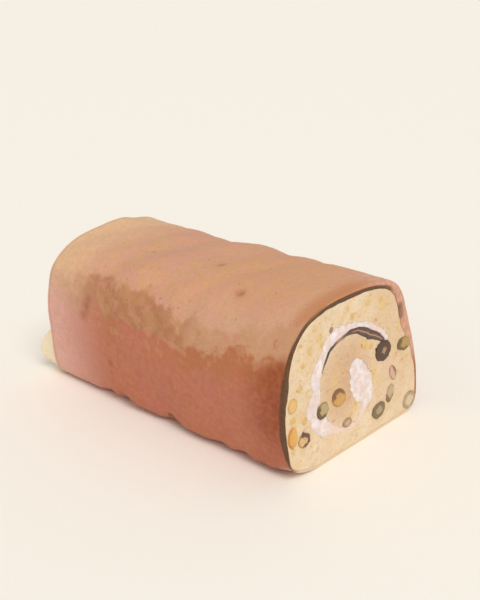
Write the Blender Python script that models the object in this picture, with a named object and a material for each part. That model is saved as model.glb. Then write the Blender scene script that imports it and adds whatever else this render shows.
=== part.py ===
"""A swiss roll cake with a cream filling and dried fruit, lying on its flat base.

The cut end faces +X, the long side with the lower edge in view faces -Y, and the far end at -X
is cut a little aslant, with the crumb squeezed out past the crust low on its -Y side. The origin
is the middle of the base. Sizes below are in millimetres and become metres in the meshes.
"""

import math
import random

import bmesh
import bpy
from mathutils import Matrix, Vector, noise

MM = 0.001
WELD = 0.00001

# Driving sizes of the roll
CUT_FACE_X = 78.5
CRUST_LENGTH = 141.3
ROLL_WIDTH = 90.0
HEIGHT = 72.5
SHOULDER = 21.8
LEAN = 11.6
CENTRING = 2.56
BASE_FLAT = 0.5
FAR_SLANT = 7.1
GAP = 0.3
END_MARGIN = 5.0

# Exponent of each quarter of the section, by (is on the +Y side, is above the shoulder)
CUT_QUARTERS = {(True, True): 3.6, (False, True): 2.56, (False, False): 8.0, (True, False): 8.0}
FAR_QUARTERS = {(True, True): 2.9, (False, True): 3.3, (False, False): 8.0, (True, False): 8.0}
BLEND_START = 40.0
BLEND_LENGTH = 95.0

# Rounding of the crust's edge at the cut, wide where it curls over: share round the section, width;
# along the roll it takes only a share of that
EDGE_RADII = ((0.0, 0.8), (0.22, 0.8), (0.25, 1.9), (0.273, 3.2), (0.3, 5.0), (0.33, 6.0), (0.365, 5.0),
              (0.383, 4.0), (0.42, 2.6), (0.453, 2.2), (0.48, 1.8), (0.51, 1.2), (0.54, 0.9), (0.57, 0.8),
              (1.0, 0.8))
EDGE_LENGTH = 0.45
FAR_EDGE = 1.2

# Soft swells of the top along the roll: place, height and spread; they run a little aslant
TOP_SWELLS = ((70.0, 0.3, 6.0), (50.0, 0.0, 9.0), (36.0, -1.0, 6.0), (18.0, -1.2, 9.0), (2.0, 0.3, 5.0),
              (-13.0, -2.1, 8.0), (-30.0, -1.4, 9.0), (-47.0, -1.5, 8.0), (-61.0, -1.2, 6.0),
              (-76.0, 1.3, 6.0))
# Single swellings and hollows of the crust: middle as (x, y, z), height and spread
SWELLINGS = (((-60.0, -7.0, 71.0), 1.9, 9.0), ((-60.0, 24.0, 67.0), -1.3, 7.0),
             ((-63.0, -43.5, 57.0), 1.3, 7.0), ((6.0, 12.5, 71.5), -1.6, 6.0),
             ((-60.0, -1.0, 71.0), 1.0, 5.0),
             ((76.0, 31.0, 62.0), 0.3, 8.0), ((77.0, 46.0, 14.0), 1.6, 14.0))
SWELL_SLANT = 0.35
SWELL_FROM = 0.45
UNEVEN = 1.1
UNEVEN_SIZE = 24.0
CALM_BASE = 9.0

# Scallops where the lower -Y edge lifts off the surface: place and height
EDGE_LIFTS = ((50.9, 2.6), (38.9, 1.9), (9.4, 3.4), (-20.9, 3.3), (-32.1, 2.9), (62.0, 1.0))
LIFT_SPREAD = 5.0
LIFT_FROM_Y = -33.0
LIFT_RAMP = 9.0
LIFT_TOP = 24.0

# Lift of the lower -Y corner at the cut
CORNER_LIFT = 3.4
CORNER_SPREAD = 9.0
CORNER_FROM_Y = -22.0
CORNER_RAMP = 20.0

# Crumb squeezed out at the far end: middle, half sizes, reach, spread sideways and round edge
FAR_PILLOW = 1.6
BULGE_MIDDLE = (-34.0, 9.4)
BULGE_HALF = (13.0, 15.2)
BULGE_REACH = 9.8
BULGE_SPREAD = 5.4
BULGE_ROUND = 0.09

# Middle line of the cream as (y, z, thickness), from its thin outer end to its thick heart
CREAM_PATH = (
    (20.9, 43.2, 1.2), (19.3, 45.2, 1.6), (16.0, 48.5, 1.9), (11.3, 51.5, 2.1), (6.2, 54.4, 2.3),
    (0.2, 56.5, 2.1), (-5.4, 57.2, 2.9), (-10.6, 57.1, 4.2), (-15.0, 56.5, 5.3), (-18.6, 55.0, 5.5),
    (-21.2, 52.9, 4.6), (-23.0, 49.8, 3.9), (-25.2, 46.4, 4.8), (-26.9, 42.8, 6.3), (-27.0, 39.4, 4.9),
    (-26.5, 36.2, 4.4), (-27.3, 32.6, 6.0), (-28.8, 28.6, 6.8), (-27.6, 24.4, 6.0), (-24.6, 20.4, 7.2),
    (-19.4, 16.6, 6.6), (-14.0, 13.6, 3.4), (-8.6, 11.6, 2.2), (-2.6, 10.4, 1.6), (2.2, 11.2, 1.6),
    (5.4, 14.0, 2.4), (8.0, 17.8, 6.0), (7.9, 21.8, 10.2), (5.4, 26.0, 13.0), (3.0, 30.0, 13.2),
    (1.6, 33.2, 12.0), (0.6, 35.6, 10.6), (-0.8, 37.6, 7.6),
)
CREAM_SAMPLES = 4
CREAM_RAGGED = 0.55
RAGGED_SIZE = 3.4

# The dark rolled-in layer lies inside the cream between two of its points: (point, thickness)
DARK_LAYER = ((0.6, 1.4), (1.5, 2.6), (2.4, 3.3), (3.4, 3.9), (4.3, 3.5), (5.2, 2.5), (6.0, 1.6), (7.0, 1.2),
              (9.0, 1.0), (11.0, 1.1), (12.6, 0.8))
DARK_SAMPLES = 4

# Crevice behind the curled crust edge on the +Y side
CREVICE_PATH = ((27.0, 59.8, 0.5), (29.4, 55.6, 0.9), (31.4, 50.6, 0.8), (32.2, 44.4, 0.4))
CREVICE_DEPTH = 6.0

# Dried fruit at the cut face: (y, z, half width, half height, tilt in degrees, depth of its middle)
CUT_FRUIT = {
    "raisin_1": (18.8, 38.4, 5.8, 4.9, -20.0, 1.2),
    "raisin_2": (18.1, 10.2, 5.1, 3.8, 0.0, 1.5),
    "raisin_3": (-4.9, 13.4, 3.2, 2.2, -12.0, 0.9),
    "raisin_4": (34.5, 36.5, 5.3, 3.2, -14.0, 1.4),
    "raisin_5": (42.0, 6.0, 5.0, 4.4, 0.0, 2.0),
    "raisin_6": (26.2, 15.3, 2.8, 4.3, -8.0, 1.0),
    "raisin_7": (27.4, 24.9, 2.1, 4.3, 28.0, 0.8),
    "raisin_8": (-33.6, 17.0, 3.9, 3.2, -25.0, 1.0),
    "raisin_9": (-22.1, 25.7, 3.8, 3.9, 12.0, 1.0),
    "sultana_1": (-40.8, 21.0, 2.8, 4.9, 6.0, 1.2),
    "sultana_2": (-11.5, 27.6, 5.0, 3.9, -35.0, 1.2),
    "sultana_3": (-41.3, 35.2, 2.6, 3.2, 4.0, 0.8),
}

# Dried fruit at the far end, finished like the cut face
FAR_FRUIT = {
    "raisin_10": (24.0, 22.0, 4.6, 3.8, 20.0, 1.0),
    "raisin_11": (-14.0, 30.5, 4.2, 3.6, -30.0, 1.0),
    "raisin_12": (8.0, 62.0, 4.4, 3.2, 10.0, 1.0),
    "raisin_13": (33.0, 48.0, 3.2, 4.6, 15.0, 1.0),
    "sultana_4": (-36.0, 46.0, 3.0, 4.2, -15.0, 1.0),
}
WRINKLE = 0.13
FRUIT_ROUNDS = (12, 5)

# Dimples of the crust: place along the roll, share round the section from the base, size, depth
DIMPLES = ((40.1, 0.59, 3.0, 1.3), (16.9, 0.54, 2.4, 0.9), (-20.0, 0.55, 1.0, 0.8),
           (-38.2, 0.695, 3.4, 1.4), (-25.1, 0.78, 2.6, 0.9), (-4.0, 0.42, 2.6, 0.8), (55.0, 0.36, 2.2, 0.8))
DIMPLE_ROUNDS = (8, 5)
SEAM_HEIGHT = 36.0
SEAM_DEPTH = 1.1
SEAM_KNOTS = 18
SEAM_END = 3.0
SEAM_WAVES = ((1.3, 0.055, 0.0), (0.6, 0.16, 1.0))

# Open crumb on both cut ends
CUT_PITS = 26
FAR_PITS = 14
PIT_SIZES = (0.7, 1.35)
PIT_SEED = 11
PIT_ROUNDS = (5, 3)
PIT_SPACING = 3.4
PIT_REACH = 0.88
PIT_LOWEST = 4.0
PIT_RIGHTMOST = 33.0
FILLING_MARGIN = 4.2
FRUIT_MARGIN = 0.8

RING_POINTS = 66
STATIONS = 24
FINE_POINTS = 400
FAR_TURNS = (90.0, 45.0, 0.0)
CUT_TURNS = (0.0, 35.0, 65.0, 90.0)
CAP_RINGS = (0.985, 0.965, 0.92, 0.85, 0.74, 0.6, 0.42, 0.22)
CAP_MIDDLE = (0.0, 33.0)
CAP_RADIUS = 42.0


def bell(value):
    """Soft bump of height 1 around zero."""
    return math.exp(-value * value)


def smooth_step(value):
    """Zero up to 0, one from 1 on, with a soft rise between."""
    value = min(1.0, max(0.0, value))
    return value * value * (3.0 - 2.0 * value)


def along_keys(keys, place):
    """Value at a place between hand-set (place, value) keys."""
    for (first, low), (second, high) in zip(keys, keys[1:]):
        if place <= second:
            return low + (high - low) * smooth_step((place - first) / (second - first))
    return keys[-1][1]


def section_point(angle, quarters):
    """Outline of the roll as y and z: four quarters of superellipses, flat below and leaning."""
    across, up = math.cos(angle), math.sin(angle)
    power = 2.0 / quarters[(across >= 0.0, up >= 0.0)]
    reach = HEIGHT - SHOULDER if up >= 0.0 else SHOULDER
    y = 0.5 * ROLL_WIDTH * math.copysign(abs(across) ** power, across)
    z = SHOULDER + reach * math.copysign(abs(up) ** power, up)
    z = max(0.0, z - BASE_FLAT) * HEIGHT / (HEIGHT - BASE_FLAT)
    return Vector((y + LEAN * (0.5 - z / HEIGHT) - CENTRING, z))


def even_outline(count, quarters):
    """Points and outward directions of a section at even steps, from the middle of the base."""
    steps = 2400
    dense = [section_point(math.tau * (step / steps - 0.25), quarters) for step in range(steps + 1)]
    lengths = [0.0]
    for first, second in zip(dense, dense[1:]):
        lengths.append(lengths[-1] + (second - first).length)
    points = []
    step = 0
    for index in range(count):
        wanted = lengths[-1] * index / count
        while lengths[step + 1] < wanted:
            step += 1
        share = (wanted - lengths[step]) / (lengths[step + 1] - lengths[step])
        points.append(dense[step].lerp(dense[step + 1], share))
    outward = []
    for index in range(count):
        along = points[(index + 1) % count] - points[index - 1]
        outward.append(Vector((along.y, -along.x)).normalized())
    return points, outward


def both_sections(count):
    """Sections at the cut face and at the far end, with matching points."""
    return even_outline(count, CUT_QUARTERS), even_outline(count, FAR_QUARTERS)


def section_at(x, sections, index):
    """A section's point and outward direction along the roll, between its two ends' sections."""
    share = smooth_step((BLEND_START - x) / BLEND_LENGTH)
    (cut_points, cut_outward), (far_points, far_outward) = sections
    point = cut_points[index].lerp(far_points[index], share)
    return point, cut_outward[index].lerp(far_outward[index], share).normalized()


def relief(x, y, z):
    """How far the crust stands out of the plain section at a place."""
    top = smooth_step((z / HEIGHT - SWELL_FROM) / SWELL_FROM)
    along = x - SWELL_SLANT * y
    swell = sum(height * bell((along - place) / spread) for place, height, spread in TOP_SWELLS)
    uneven = UNEVEN * noise.noise(Vector((x, y, z)) / UNEVEN_SIZE)
    for middle, height, spread in SWELLINGS:
        uneven += height * bell((Vector((x, y, z)) - Vector(middle)).length / spread)
    return (top * swell + uneven) * smooth_step(z / CALM_BASE)


def edge_lift(x, y, z):
    """How far the lower -Y edge is lifted off the surface at a place."""
    lift = max(height * bell((x - place) / LIFT_SPREAD) for place, height in EDGE_LIFTS)
    lift *= smooth_step((LIFT_FROM_Y - y) / LIFT_RAMP)
    corner = CORNER_LIFT * bell((x - CUT_FACE_X) / CORNER_SPREAD)
    corner *= smooth_step((CORNER_FROM_Y - y) / CORNER_RAMP)
    return max(lift, corner) * smooth_step(1.0 - z / LIFT_TOP)


def far_edge_x(z):
    """Where the crust ends at the far end, which is cut aslant."""
    return CUT_FACE_X - CRUST_LENGTH - FAR_SLANT * (1.0 - z / HEIGHT)


def far_bulge(y, z, share):
    """How far the crumb stands out of the far end; share is 1 at the crust and 0 in the middle."""
    across = (y - BULGE_MIDDLE[0]) / BULGE_HALF[0]
    up = (z - BULGE_MIDDLE[1]) / BULGE_HALF[1]
    lump = BULGE_REACH * math.sqrt(max(0.0, 1.0 - across ** 6) * max(0.0, 1.0 - up ** 2))
    rise = min(1.0, (1.0 - share) / BULGE_ROUND)
    return FAR_PILLOW * (1.0 - share ** 4) + lump * math.sqrt(rise * (2.0 - rise))


def surface_point(x, tuck, sections, index):
    """A point of the crust at a place along the roll, tucked in where its edge is rounded."""
    point, out = section_at(x, sections, index)
    y, z = point + out * (relief(x, *point) - tuck)
    return Vector((x, y, max(0.0, z) + edge_lift(x, y, z)))


def roll_rings(sections):
    """Rings of points round the roll, from the crust's far edge to the cut face."""
    indices = range(len(sections[0][0]))
    heights = [point.y for point in sections[0][0]]
    radii = [along_keys(EDGE_RADII, index / RING_POINTS) for index in indices]
    starts = [far_edge_x(height) for height in heights]
    rings = []
    for turn in FAR_TURNS:
        x_in = FAR_EDGE * (1.0 - math.sin(math.radians(turn)))
        tuck = FAR_EDGE * (1.0 - math.cos(math.radians(turn)))
        rings.append([surface_point(starts[index] + x_in, tuck, sections, index) for index in indices])
    for station in range(1, STATIONS):
        share = station / STATIONS
        ring = []
        for index in indices:
            first, last = starts[index] + FAR_EDGE, CUT_FACE_X - EDGE_LENGTH * radii[index]
            ring.append(surface_point(first + (last - first) * share, 0.0, sections, index))
        rings.append(ring)
    for turn in CUT_TURNS:
        ring = []
        for index in indices:
            x = CUT_FACE_X - EDGE_LENGTH * radii[index] * (1.0 - math.sin(math.radians(turn)))
            tuck = radii[index] * (1.0 - math.cos(math.radians(turn)))
            ring.append(surface_point(x, tuck, sections, index))
        rings.append(ring)
    return rings


def far_cap_rings(edge):
    """Rings of the far end's crumb, from the crust inward."""
    middle = Vector(CAP_MIDDLE)
    rings = []
    for share in CAP_RINGS:
        ring = []
        for corner in edge:
            y, z = middle.lerp(Vector((corner.y, corner.z)), share)
            bulge = far_bulge(y, z, share)
            turn = min(1.0, 0.5 * (1.0 - share) / BULGE_ROUND)
            spread = BULGE_SPREAD * math.sin(math.pi * turn) * max(0.0, bulge - FAR_PILLOW) / BULGE_REACH
            ring.append(Vector((far_edge_x(z) - bulge, y - spread, z)))
        rings.append(ring)
    return rings


def roll_mesh():
    """The whole roll as one closed loft, without its filling."""
    shape = bmesh.new()
    rings = roll_rings(both_sections(RING_POINTS))
    cap = far_cap_rings(rings[0])
    loops = [[shape.verts.new(point * MM) for point in ring] for ring in reversed(cap)]
    loops += [[shape.verts.new(point * MM) for point in ring] for ring in rings]
    middle = Vector((far_edge_x(CAP_MIDDLE[1]) - far_bulge(*CAP_MIDDLE, 0.0), *CAP_MIDDLE))
    hub = shape.verts.new(middle * MM)
    for index in range(RING_POINTS):
        following = (index + 1) % RING_POINTS
        shape.faces.new((hub, loops[0][following], loops[0][index]))
        for near, far in zip(loops[1:], loops):
            shape.faces.new((far[index], far[following], near[following], near[index]))
    shape.faces.new(loops[-1])
    mesh = bpy.data.meshes.new("roll")
    bmesh.ops.recalc_face_normals(shape, faces=shape.faces)
    shape.to_mesh(mesh)
    shape.free()
    return mesh


def path_at(path, place):
    """Smooth curve through hand-placed points: y, z and thickness at a place counted in points."""
    last = len(path) - 1
    index = min(int(place), last - 1)
    share = place - index
    before = Vector(path[max(0, index - 1)])
    first, second = Vector(path[index]), Vector(path[index + 1])
    after = Vector(path[min(last, index + 2)])
    slope_in, slope_out = 0.5 * (second - before), 0.5 * (after - first)
    square, cube = share ** 2, share ** 3
    return (first * (2.0 * cube - 3.0 * square + 1.0) + slope_in * (cube - 2.0 * square + share)
            + second * (3.0 * square - 2.0 * cube) + slope_out * (cube - square))


def path_side(path, place):
    """Direction across the middle line at a place, to the left of the way it runs."""
    step = 0.05
    last = len(path) - 1
    along = path_at(path, min(last, place + step)) - path_at(path, max(0.0, place - step))
    return Vector((-along.y, along.x)).normalized()


def ragged(point, side):
    """Uneven edge of the cream."""
    return CREAM_RAGGED * noise.noise(Vector((point.x / RAGGED_SIZE, point.y / RAGGED_SIZE, 7.3 * side)))


def band_outline(path, samples, grow=0.0, rough=False):
    """Closed outline of a band along a path, grown all round."""
    places = [index / samples for index in range((len(path) - 1) * samples + 1)]
    sides = {1.0: [], -1.0: []}
    for side, outline in sides.items():
        for place in places:
            y, z, thickness = path_at(path, place)
            middle = Vector((y, z))
            half = 0.5 * thickness + grow + (ragged(middle, side) if rough else 0.0)
            outline.append(middle + path_side(path, place) * half * side)
    ends = []
    for place, turn in ((places[-1], 1.0), (0.0, -1.0)):
        y, z, thickness = path_at(path, place)
        side = path_side(path, place) * (0.5 * thickness + grow) * turn
        ahead = Vector((side.y, -side.x))
        ends.append([Vector((y, z)) + side * math.cos(angle) + ahead * math.sin(angle)
                     for angle in (0.25 * math.pi, 0.5 * math.pi, 0.75 * math.pi)])
    return sides[1.0] + ends[0] + sides[-1.0][::-1] + ends[1]


def dark_outline(grow=0.0):
    """Outline of the dark layer, which follows the inner edge of the cream."""
    outer, inner = [], []
    start, end = DARK_LAYER[0][0], DARK_LAYER[-1][0]
    count = int((end - start) * DARK_SAMPLES)
    for index in range(count + 1):
        place = start + (end - start) * index / count
        for (first, thin), (second, thick) in zip(DARK_LAYER, DARK_LAYER[1:]):
            if first <= place <= second:
                thickness = thin + (thick - thin) * (place - first) / (second - first)
        y, z, cream = path_at(CREAM_PATH, place)
        middle, side = Vector((y, z)), path_side(CREAM_PATH, place)
        edge = 0.5 * cream + ragged(middle, 1.0) + GAP
        outer.append(middle + side * (edge - grow))
        inner.append(middle + side * (edge + thickness + grow))
    if grow:
        for line in (outer, inner):
            line[0] += (line[0] - line[1]).normalized() * grow
            line[-1] += (line[-1] - line[-2]).normalized() * grow
    return outer + inner[::-1]


def new_object(name, mesh, collection, parent):
    """Object in a collection, under the empty that stands for the whole cake."""
    made = bpy.data.objects.new(name, mesh)
    collection.objects.link(made)
    made.parent = parent
    return made


def mesh_from_curve(drawn):
    """Closed mesh of a curve object in world space; the curve itself is removed."""
    bpy.context.view_layer.update()
    mesh = bpy.data.meshes.new_from_object(drawn.evaluated_get(bpy.context.evaluated_depsgraph_get()))
    mesh.transform(drawn.matrix_world)
    bpy.data.objects.remove(drawn)
    shape = bmesh.new()
    shape.from_mesh(mesh)
    bmesh.ops.remove_doubles(shape, verts=shape.verts, dist=WELD)
    bmesh.ops.recalc_face_normals(shape, faces=shape.faces)
    shape.to_mesh(mesh)
    shape.free()
    return mesh


def prism(name, outline, back, front, collection, parent):
    """Closed prism along X from an outline in Y and Z."""
    curve = bpy.data.curves.new(name, "CURVE")
    curve.dimensions = "2D"
    curve.fill_mode = "BOTH"
    curve.extrude = 0.5 * (front - back) * MM
    spline = curve.splines.new("POLY")
    spline.points.add(len(outline) - 1)
    for point, place in zip(spline.points, outline):
        point.co = (place.x * MM, place.y * MM, 0.0, 1.0)
    spline.use_cyclic_u = True
    drawn = bpy.data.objects.new(name + "_outline", curve)
    collection.objects.link(drawn)
    drawn.rotation_euler = (0.5 * math.pi, 0.0, 0.5 * math.pi)
    drawn.location.x = 0.5 * (front + back) * MM
    return new_object(name, mesh_from_curve(drawn), collection, parent)


def blob(name, halves, wrinkle, rounds, grow, seed, collection, parent):
    """Rounded, wrinkled lump with the given half sizes, grown all round; its poles lie along X."""
    shape = bmesh.new()
    turned = Matrix.Rotation(0.5 * math.pi, 4, "Y")
    bmesh.ops.create_uvsphere(shape, u_segments=rounds[0], v_segments=rounds[1], radius=1.0, matrix=turned)
    for vert in shape.verts:
        direction = vert.co.normalized()
        swell = 1.0 + wrinkle * noise.noise(direction * 2.3 + Vector((seed, 0.0, 0.0)))
        swell += 0.5 * wrinkle * noise.noise(direction * 5.1 + Vector((0.0, seed, 0.0)))
        place = Vector(direction * axis for direction, axis in zip(direction, halves)) * swell
        vert.co = (place + direction * grow) * MM
    mesh = bpy.data.meshes.new(name)
    shape.to_mesh(mesh)
    shape.free()
    return new_object(name, mesh, collection, parent)


def as_cutter(made):
    """Mark an object as a guide that only cuts."""
    made.hide_render = True
    made.display_type = "WIRE"
    return made


def cut(target, operand, operation):
    """Add a Boolean with an object or with a whole collection."""
    boolean = target.modifiers.new(operation.title(), "BOOLEAN")
    boolean.operation = operation
    boolean.solver = "EXACT"
    if isinstance(operand, bpy.types.Collection):
        boolean.operand_type = "COLLECTION"
        boolean.collection = operand
    else:
        boolean.object = operand


def make_material(name, colour, roughness):
    """Plain Principled material; the colour is given in sRGB."""
    material = bpy.data.materials.new(name)
    material.use_nodes = True
    shader = material.node_tree.nodes["Principled BSDF"]
    linear = [(channel / 255.0) ** 2.2 for channel in colour]
    shader.inputs["Base Color"].default_value = (*linear, 1.0)
    shader.inputs["Roughness"].default_value = roughness
    shader.inputs["Metallic"].default_value = 0.0
    material.diffuse_color = (*linear, 1.0)
    return material


def new_collection(name):
    """Collection linked to the scene."""
    made = bpy.data.collections.new(name)
    bpy.context.scene.collection.children.link(made)
    return made


def place_fruit(made, x, fruit):
    """Set a fruit or its pocket at its place on a cut end."""
    y, z, _, _, tilt, _ = fruit
    made.location = Vector((x, y, z)) * MM
    made.rotation_euler.x = math.radians(tilt)


def fruit_x(name, fruit):
    """Middle of a fruit along the roll, just behind the end that cuts it."""
    y, z, _, _, _, depth = fruit
    if name in CUT_FRUIT:
        return CUT_FACE_X - depth
    middle = Vector(CAP_MIDDLE)
    share = min(1.0, (Vector((y, z)) - middle).length / CAP_RADIUS)
    return far_edge_x(z) - far_bulge(y, z, share) + depth


def make_fruit(parts, pockets, roll, parent):
    """Raisins and sultanas, each cut off by the end it shows at, and their pockets."""
    colours = {"raisin": (118, 88, 64), "sultana": (204, 156, 92)}
    materials = {kind: make_material(kind, colour, 0.45) for kind, colour in colours.items()}
    for seed, (name, fruit) in enumerate({**CUT_FRUIT, **FAR_FRUIT}.items()):
        _, _, half_width, half_height, _, _ = fruit
        halves = (0.5 * (half_width + half_height), half_width, half_height)
        shape = (halves, WRINKLE, FRUIT_ROUNDS)
        made = blob(name, *shape, 0.0, 1.7 * seed, parts, parent)
        pocket = blob(name + "_pocket", *shape, GAP, 1.7 * seed, pockets, parent)
        for piece in (made, as_cutter(pocket)):
            place_fruit(piece, fruit_x(name, fruit), fruit)
        cut(made, roll, "INTERSECT")
        made.data.materials.append(materials[name.split("_")[0]])
        made.data.shade_smooth()


def make_filling(parts, slots, pockets, roll, parent):
    """Cream and the dark layer along its inside, both running from end to end."""
    back = far_edge_x(0.0) - FAR_PILLOW - BULGE_REACH - END_MARGIN
    front = CUT_FACE_X + END_MARGIN
    cream = prism("cream", band_outline(CREAM_PATH, CREAM_SAMPLES, 0.0, True), back, front, parts, parent)
    dark = prism("dark_layer", dark_outline(), back, front, parts, parent)
    wide_cream = band_outline(CREAM_PATH, CREAM_SAMPLES, GAP, True)
    as_cutter(prism("cream_slot", wide_cream, back - GAP, front + GAP, slots, parent))
    as_cutter(prism("dark_slot", dark_outline(GAP), back - GAP, front + GAP, slots, parent))
    for piece, colour, roughness in ((cream, (243, 232, 220), 0.55), (dark, (92, 66, 54), 0.6)):
        cut(piece, roll, "INTERSECT")
        cut(piece, pockets, "DIFFERENCE")
        piece.data.materials.append(make_material(piece.name, colour, roughness))


def make_dimples(dents, parent):
    """Small hollows of the crust."""
    sections = both_sections(FINE_POINTS)
    for number, (x, share, size, depth) in enumerate(DIMPLES):
        index = int(share * FINE_POINTS)
        place = surface_point(x, depth - 0.8 * size, sections, index)
        halves = (size, size * 0.8, size * 0.8)
        name = f"dimple_{number + 1}"
        dent = as_cutter(blob(name, halves, 0.1, DIMPLE_ROUNDS, 0.0, 3.0 * number, dents, parent))
        dent.location = place * MM


def make_seam(dents, parent):
    """Groove along the +Y side where the rolled sheet ends."""
    sections = both_sections(FINE_POINTS)
    right = [index for index, point in enumerate(sections[0][0]) if point.x > 0.0 and point.y > 8.0]
    curve = bpy.data.curves.new("seam", "CURVE")
    curve.dimensions = "3D"
    curve.bevel_depth = SEAM_DEPTH * MM
    curve.bevel_resolution = 0
    curve.use_fill_caps = True
    spline = curve.splines.new("POLY")
    spline.points.add(SEAM_KNOTS - 1)
    start, end = far_edge_x(SEAM_HEIGHT) - END_MARGIN, CUT_FACE_X - SEAM_END
    for number, knot in enumerate(spline.points):
        x = start + (end - start) * number / (SEAM_KNOTS - 1)
        height = SEAM_HEIGHT + sum(size * math.sin(rate * x + turn) for size, rate, turn in SEAM_WAVES)
        index = min(right, key=lambda candidate: abs(sections[0][0][candidate].y - height))
        place = surface_point(x, -0.25 * SEAM_DEPTH, sections, index)
        knot.co = (*(place * MM), 1.0)
    drawn = bpy.data.objects.new("seam_line", curve)
    dents.objects.link(drawn)
    as_cutter(new_object("seam", mesh_from_curve(drawn), dents, parent))


def clear_of_filling(y, z, margin):
    """Whether a place on a cut end is in plain crumb."""
    for place in range(0, (len(CREAM_PATH) - 1) * 4 + 1):
        middle_y, middle_z, thickness = path_at(CREAM_PATH, place / 4)
        if math.hypot(y - middle_y, z - middle_z) < 0.5 * thickness + FILLING_MARGIN + margin:
            return False
    for fruit_y, fruit_z, half_width, half_height, _, _ in (*CUT_FRUIT.values(), *FAR_FRUIT.values()):
        if math.hypot(y - fruit_y, z - fruit_z) < max(half_width, half_height) + FRUIT_MARGIN + margin:
            return False
    return True


def make_pits(dents, parent):
    """Open crumb of both cut ends."""
    draw = random.Random(PIT_SEED)
    points, _ = even_outline(120, CUT_QUARTERS)
    taken = {"cut": [], "far": []}
    for end, count in (("cut", CUT_PITS), ("far", FAR_PITS)):
        while len(taken[end]) < count:
            edge = draw.choice(points)
            share = draw.uniform(0.0, PIT_REACH) ** 0.5
            y, z = Vector(CAP_MIDDLE).lerp(edge, share)
            size = draw.uniform(*PIT_SIZES)
            apart = all(math.hypot(y - near_y, z - near_z) > PIT_SPACING for near_y, near_z in taken[end])
            inside = z > PIT_LOWEST and y < PIT_RIGHTMOST
            if not (apart and inside and clear_of_filling(y, z, size)):
                continue
            taken[end].append((y, z))
            x = CUT_FACE_X + 0.1 * size if end == "cut" else far_edge_x(z) - far_bulge(y, z, share)
            halves = (size, size * draw.uniform(0.8, 1.4), size * draw.uniform(0.8, 1.2))
            number = len(taken[end])
            pit = as_cutter(blob(f"{end}_pit_{number}", halves, 0.2, PIT_ROUNDS, 0.0, number, dents, parent))
            pit.location = Vector((x, y, z)) * MM
            pit.rotation_euler.x = draw.uniform(0.0, math.pi)


def make_crevice(dents, parent):
    """Gap behind the crust edge that curls over on the +Y side."""
    outline = band_outline(CREVICE_PATH, 3)
    as_cutter(prism("crevice", outline, CUT_FACE_X - CREVICE_DEPTH, CUT_FACE_X + 4.0, dents, parent))


def build():
    """Make the whole cake."""
    for made in list(bpy.data.objects):
        bpy.data.objects.remove(made)
    parts = new_collection("swiss_roll_cake")
    guides, pockets = new_collection("guides"), new_collection("pockets")
    cutters = new_collection("cutters")
    cutters.children.link(pockets)
    cake = bpy.data.objects.new("cake", None)
    parts.objects.link(cake)
    roll = as_cutter(new_object("roll", roll_mesh(), guides, cake))
    make_fruit(parts, pockets, roll, cake)
    make_filling(parts, cutters, pockets, roll, cake)
    make_dimples(cutters, cake)
    make_seam(cutters, cake)
    make_crevice(cutters, cake)
    make_pits(cutters, cake)
    sponge = new_object("sponge", roll.data.copy(), parts, cake)
    cut(sponge, cutters, "DIFFERENCE")
    sponge.data.materials.append(make_material("sponge", (232, 201, 161), 0.85))
    sponge.data.shade_smooth()
    sponge.data.set_sharp_from_angle(angle=math.radians(40.0))


build()
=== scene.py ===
"""Looks of the swiss roll cake: browned crust, open crumb, cream, a dark layer and dried fruit.

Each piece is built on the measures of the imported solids. The cut face in view faces +X and the long
side in view faces -Y. Sizes are in millimetres and become metres in the meshes.
"""

import math
import random

import bmesh
import bpy
import numpy as np
from mathutils import Matrix, Vector, geometry, kdtree, noise


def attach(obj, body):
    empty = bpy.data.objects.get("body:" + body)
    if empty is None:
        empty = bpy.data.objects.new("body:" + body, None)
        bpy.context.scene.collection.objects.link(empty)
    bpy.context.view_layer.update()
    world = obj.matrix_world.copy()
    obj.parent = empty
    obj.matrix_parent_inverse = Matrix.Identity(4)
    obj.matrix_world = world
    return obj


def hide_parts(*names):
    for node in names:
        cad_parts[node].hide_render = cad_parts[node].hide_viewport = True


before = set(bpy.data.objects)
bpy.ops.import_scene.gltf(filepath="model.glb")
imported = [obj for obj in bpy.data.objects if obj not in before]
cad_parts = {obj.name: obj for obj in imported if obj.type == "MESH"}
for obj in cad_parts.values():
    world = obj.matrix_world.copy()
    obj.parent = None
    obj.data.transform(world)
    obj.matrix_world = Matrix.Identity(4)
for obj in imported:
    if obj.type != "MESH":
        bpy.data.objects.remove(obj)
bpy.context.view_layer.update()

MM = 0.001

# Measures shared with the solids
CUT_FACE_X = 78.5
CRUST_LENGTH = 141.3
ROLL_WIDTH = 90.0
HEIGHT = 72.5
SHOULDER = 21.8
LEAN = 11.6
CENTRING = 2.56
BASE_FLAT = 0.5
FAR_SLANT = 7.1
GAP = 0.3
CUT_QUARTERS = {(True, True): 3.6, (False, True): 2.56, (False, False): 8.0, (True, False): 8.0}
FAR_QUARTERS = {(True, True): 2.9, (False, True): 3.3, (False, False): 8.0, (True, False): 8.0}
BLEND_START = 40.0
BLEND_LENGTH = 95.0
EDGE_RADII = (
    (0.0, 0.8), (0.22, 0.8), (0.25, 1.9), (0.273, 3.2), (0.3, 5.0), (0.33, 6.0), (0.365, 5.0),
    (0.383, 4.0), (0.42, 2.6), (0.453, 2.2), (0.48, 1.8), (0.51, 1.2), (0.54, 0.9), (0.57, 0.8),
    (0.7, 0.8), (0.74, 0.4), (0.86, 0.4), (0.89, 0.8), (1.0, 0.8),
)
EDGE_LENGTH = 0.45
FAR_EDGE = 1.2
TOP_SWELLS = (
    (70.0, 0.3, 6.0), (50.0, 0.0, 9.0), (36.0, -1.0, 6.0), (18.0, -1.2, 9.0), (2.0, 0.3, 5.0),
    (-13.0, -2.1, 8.0), (-30.0, -1.4, 9.0), (-47.0, -1.5, 8.0), (-61.0, -1.2, 6.0),
    (-76.0, 1.3, 6.0),
)
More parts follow.
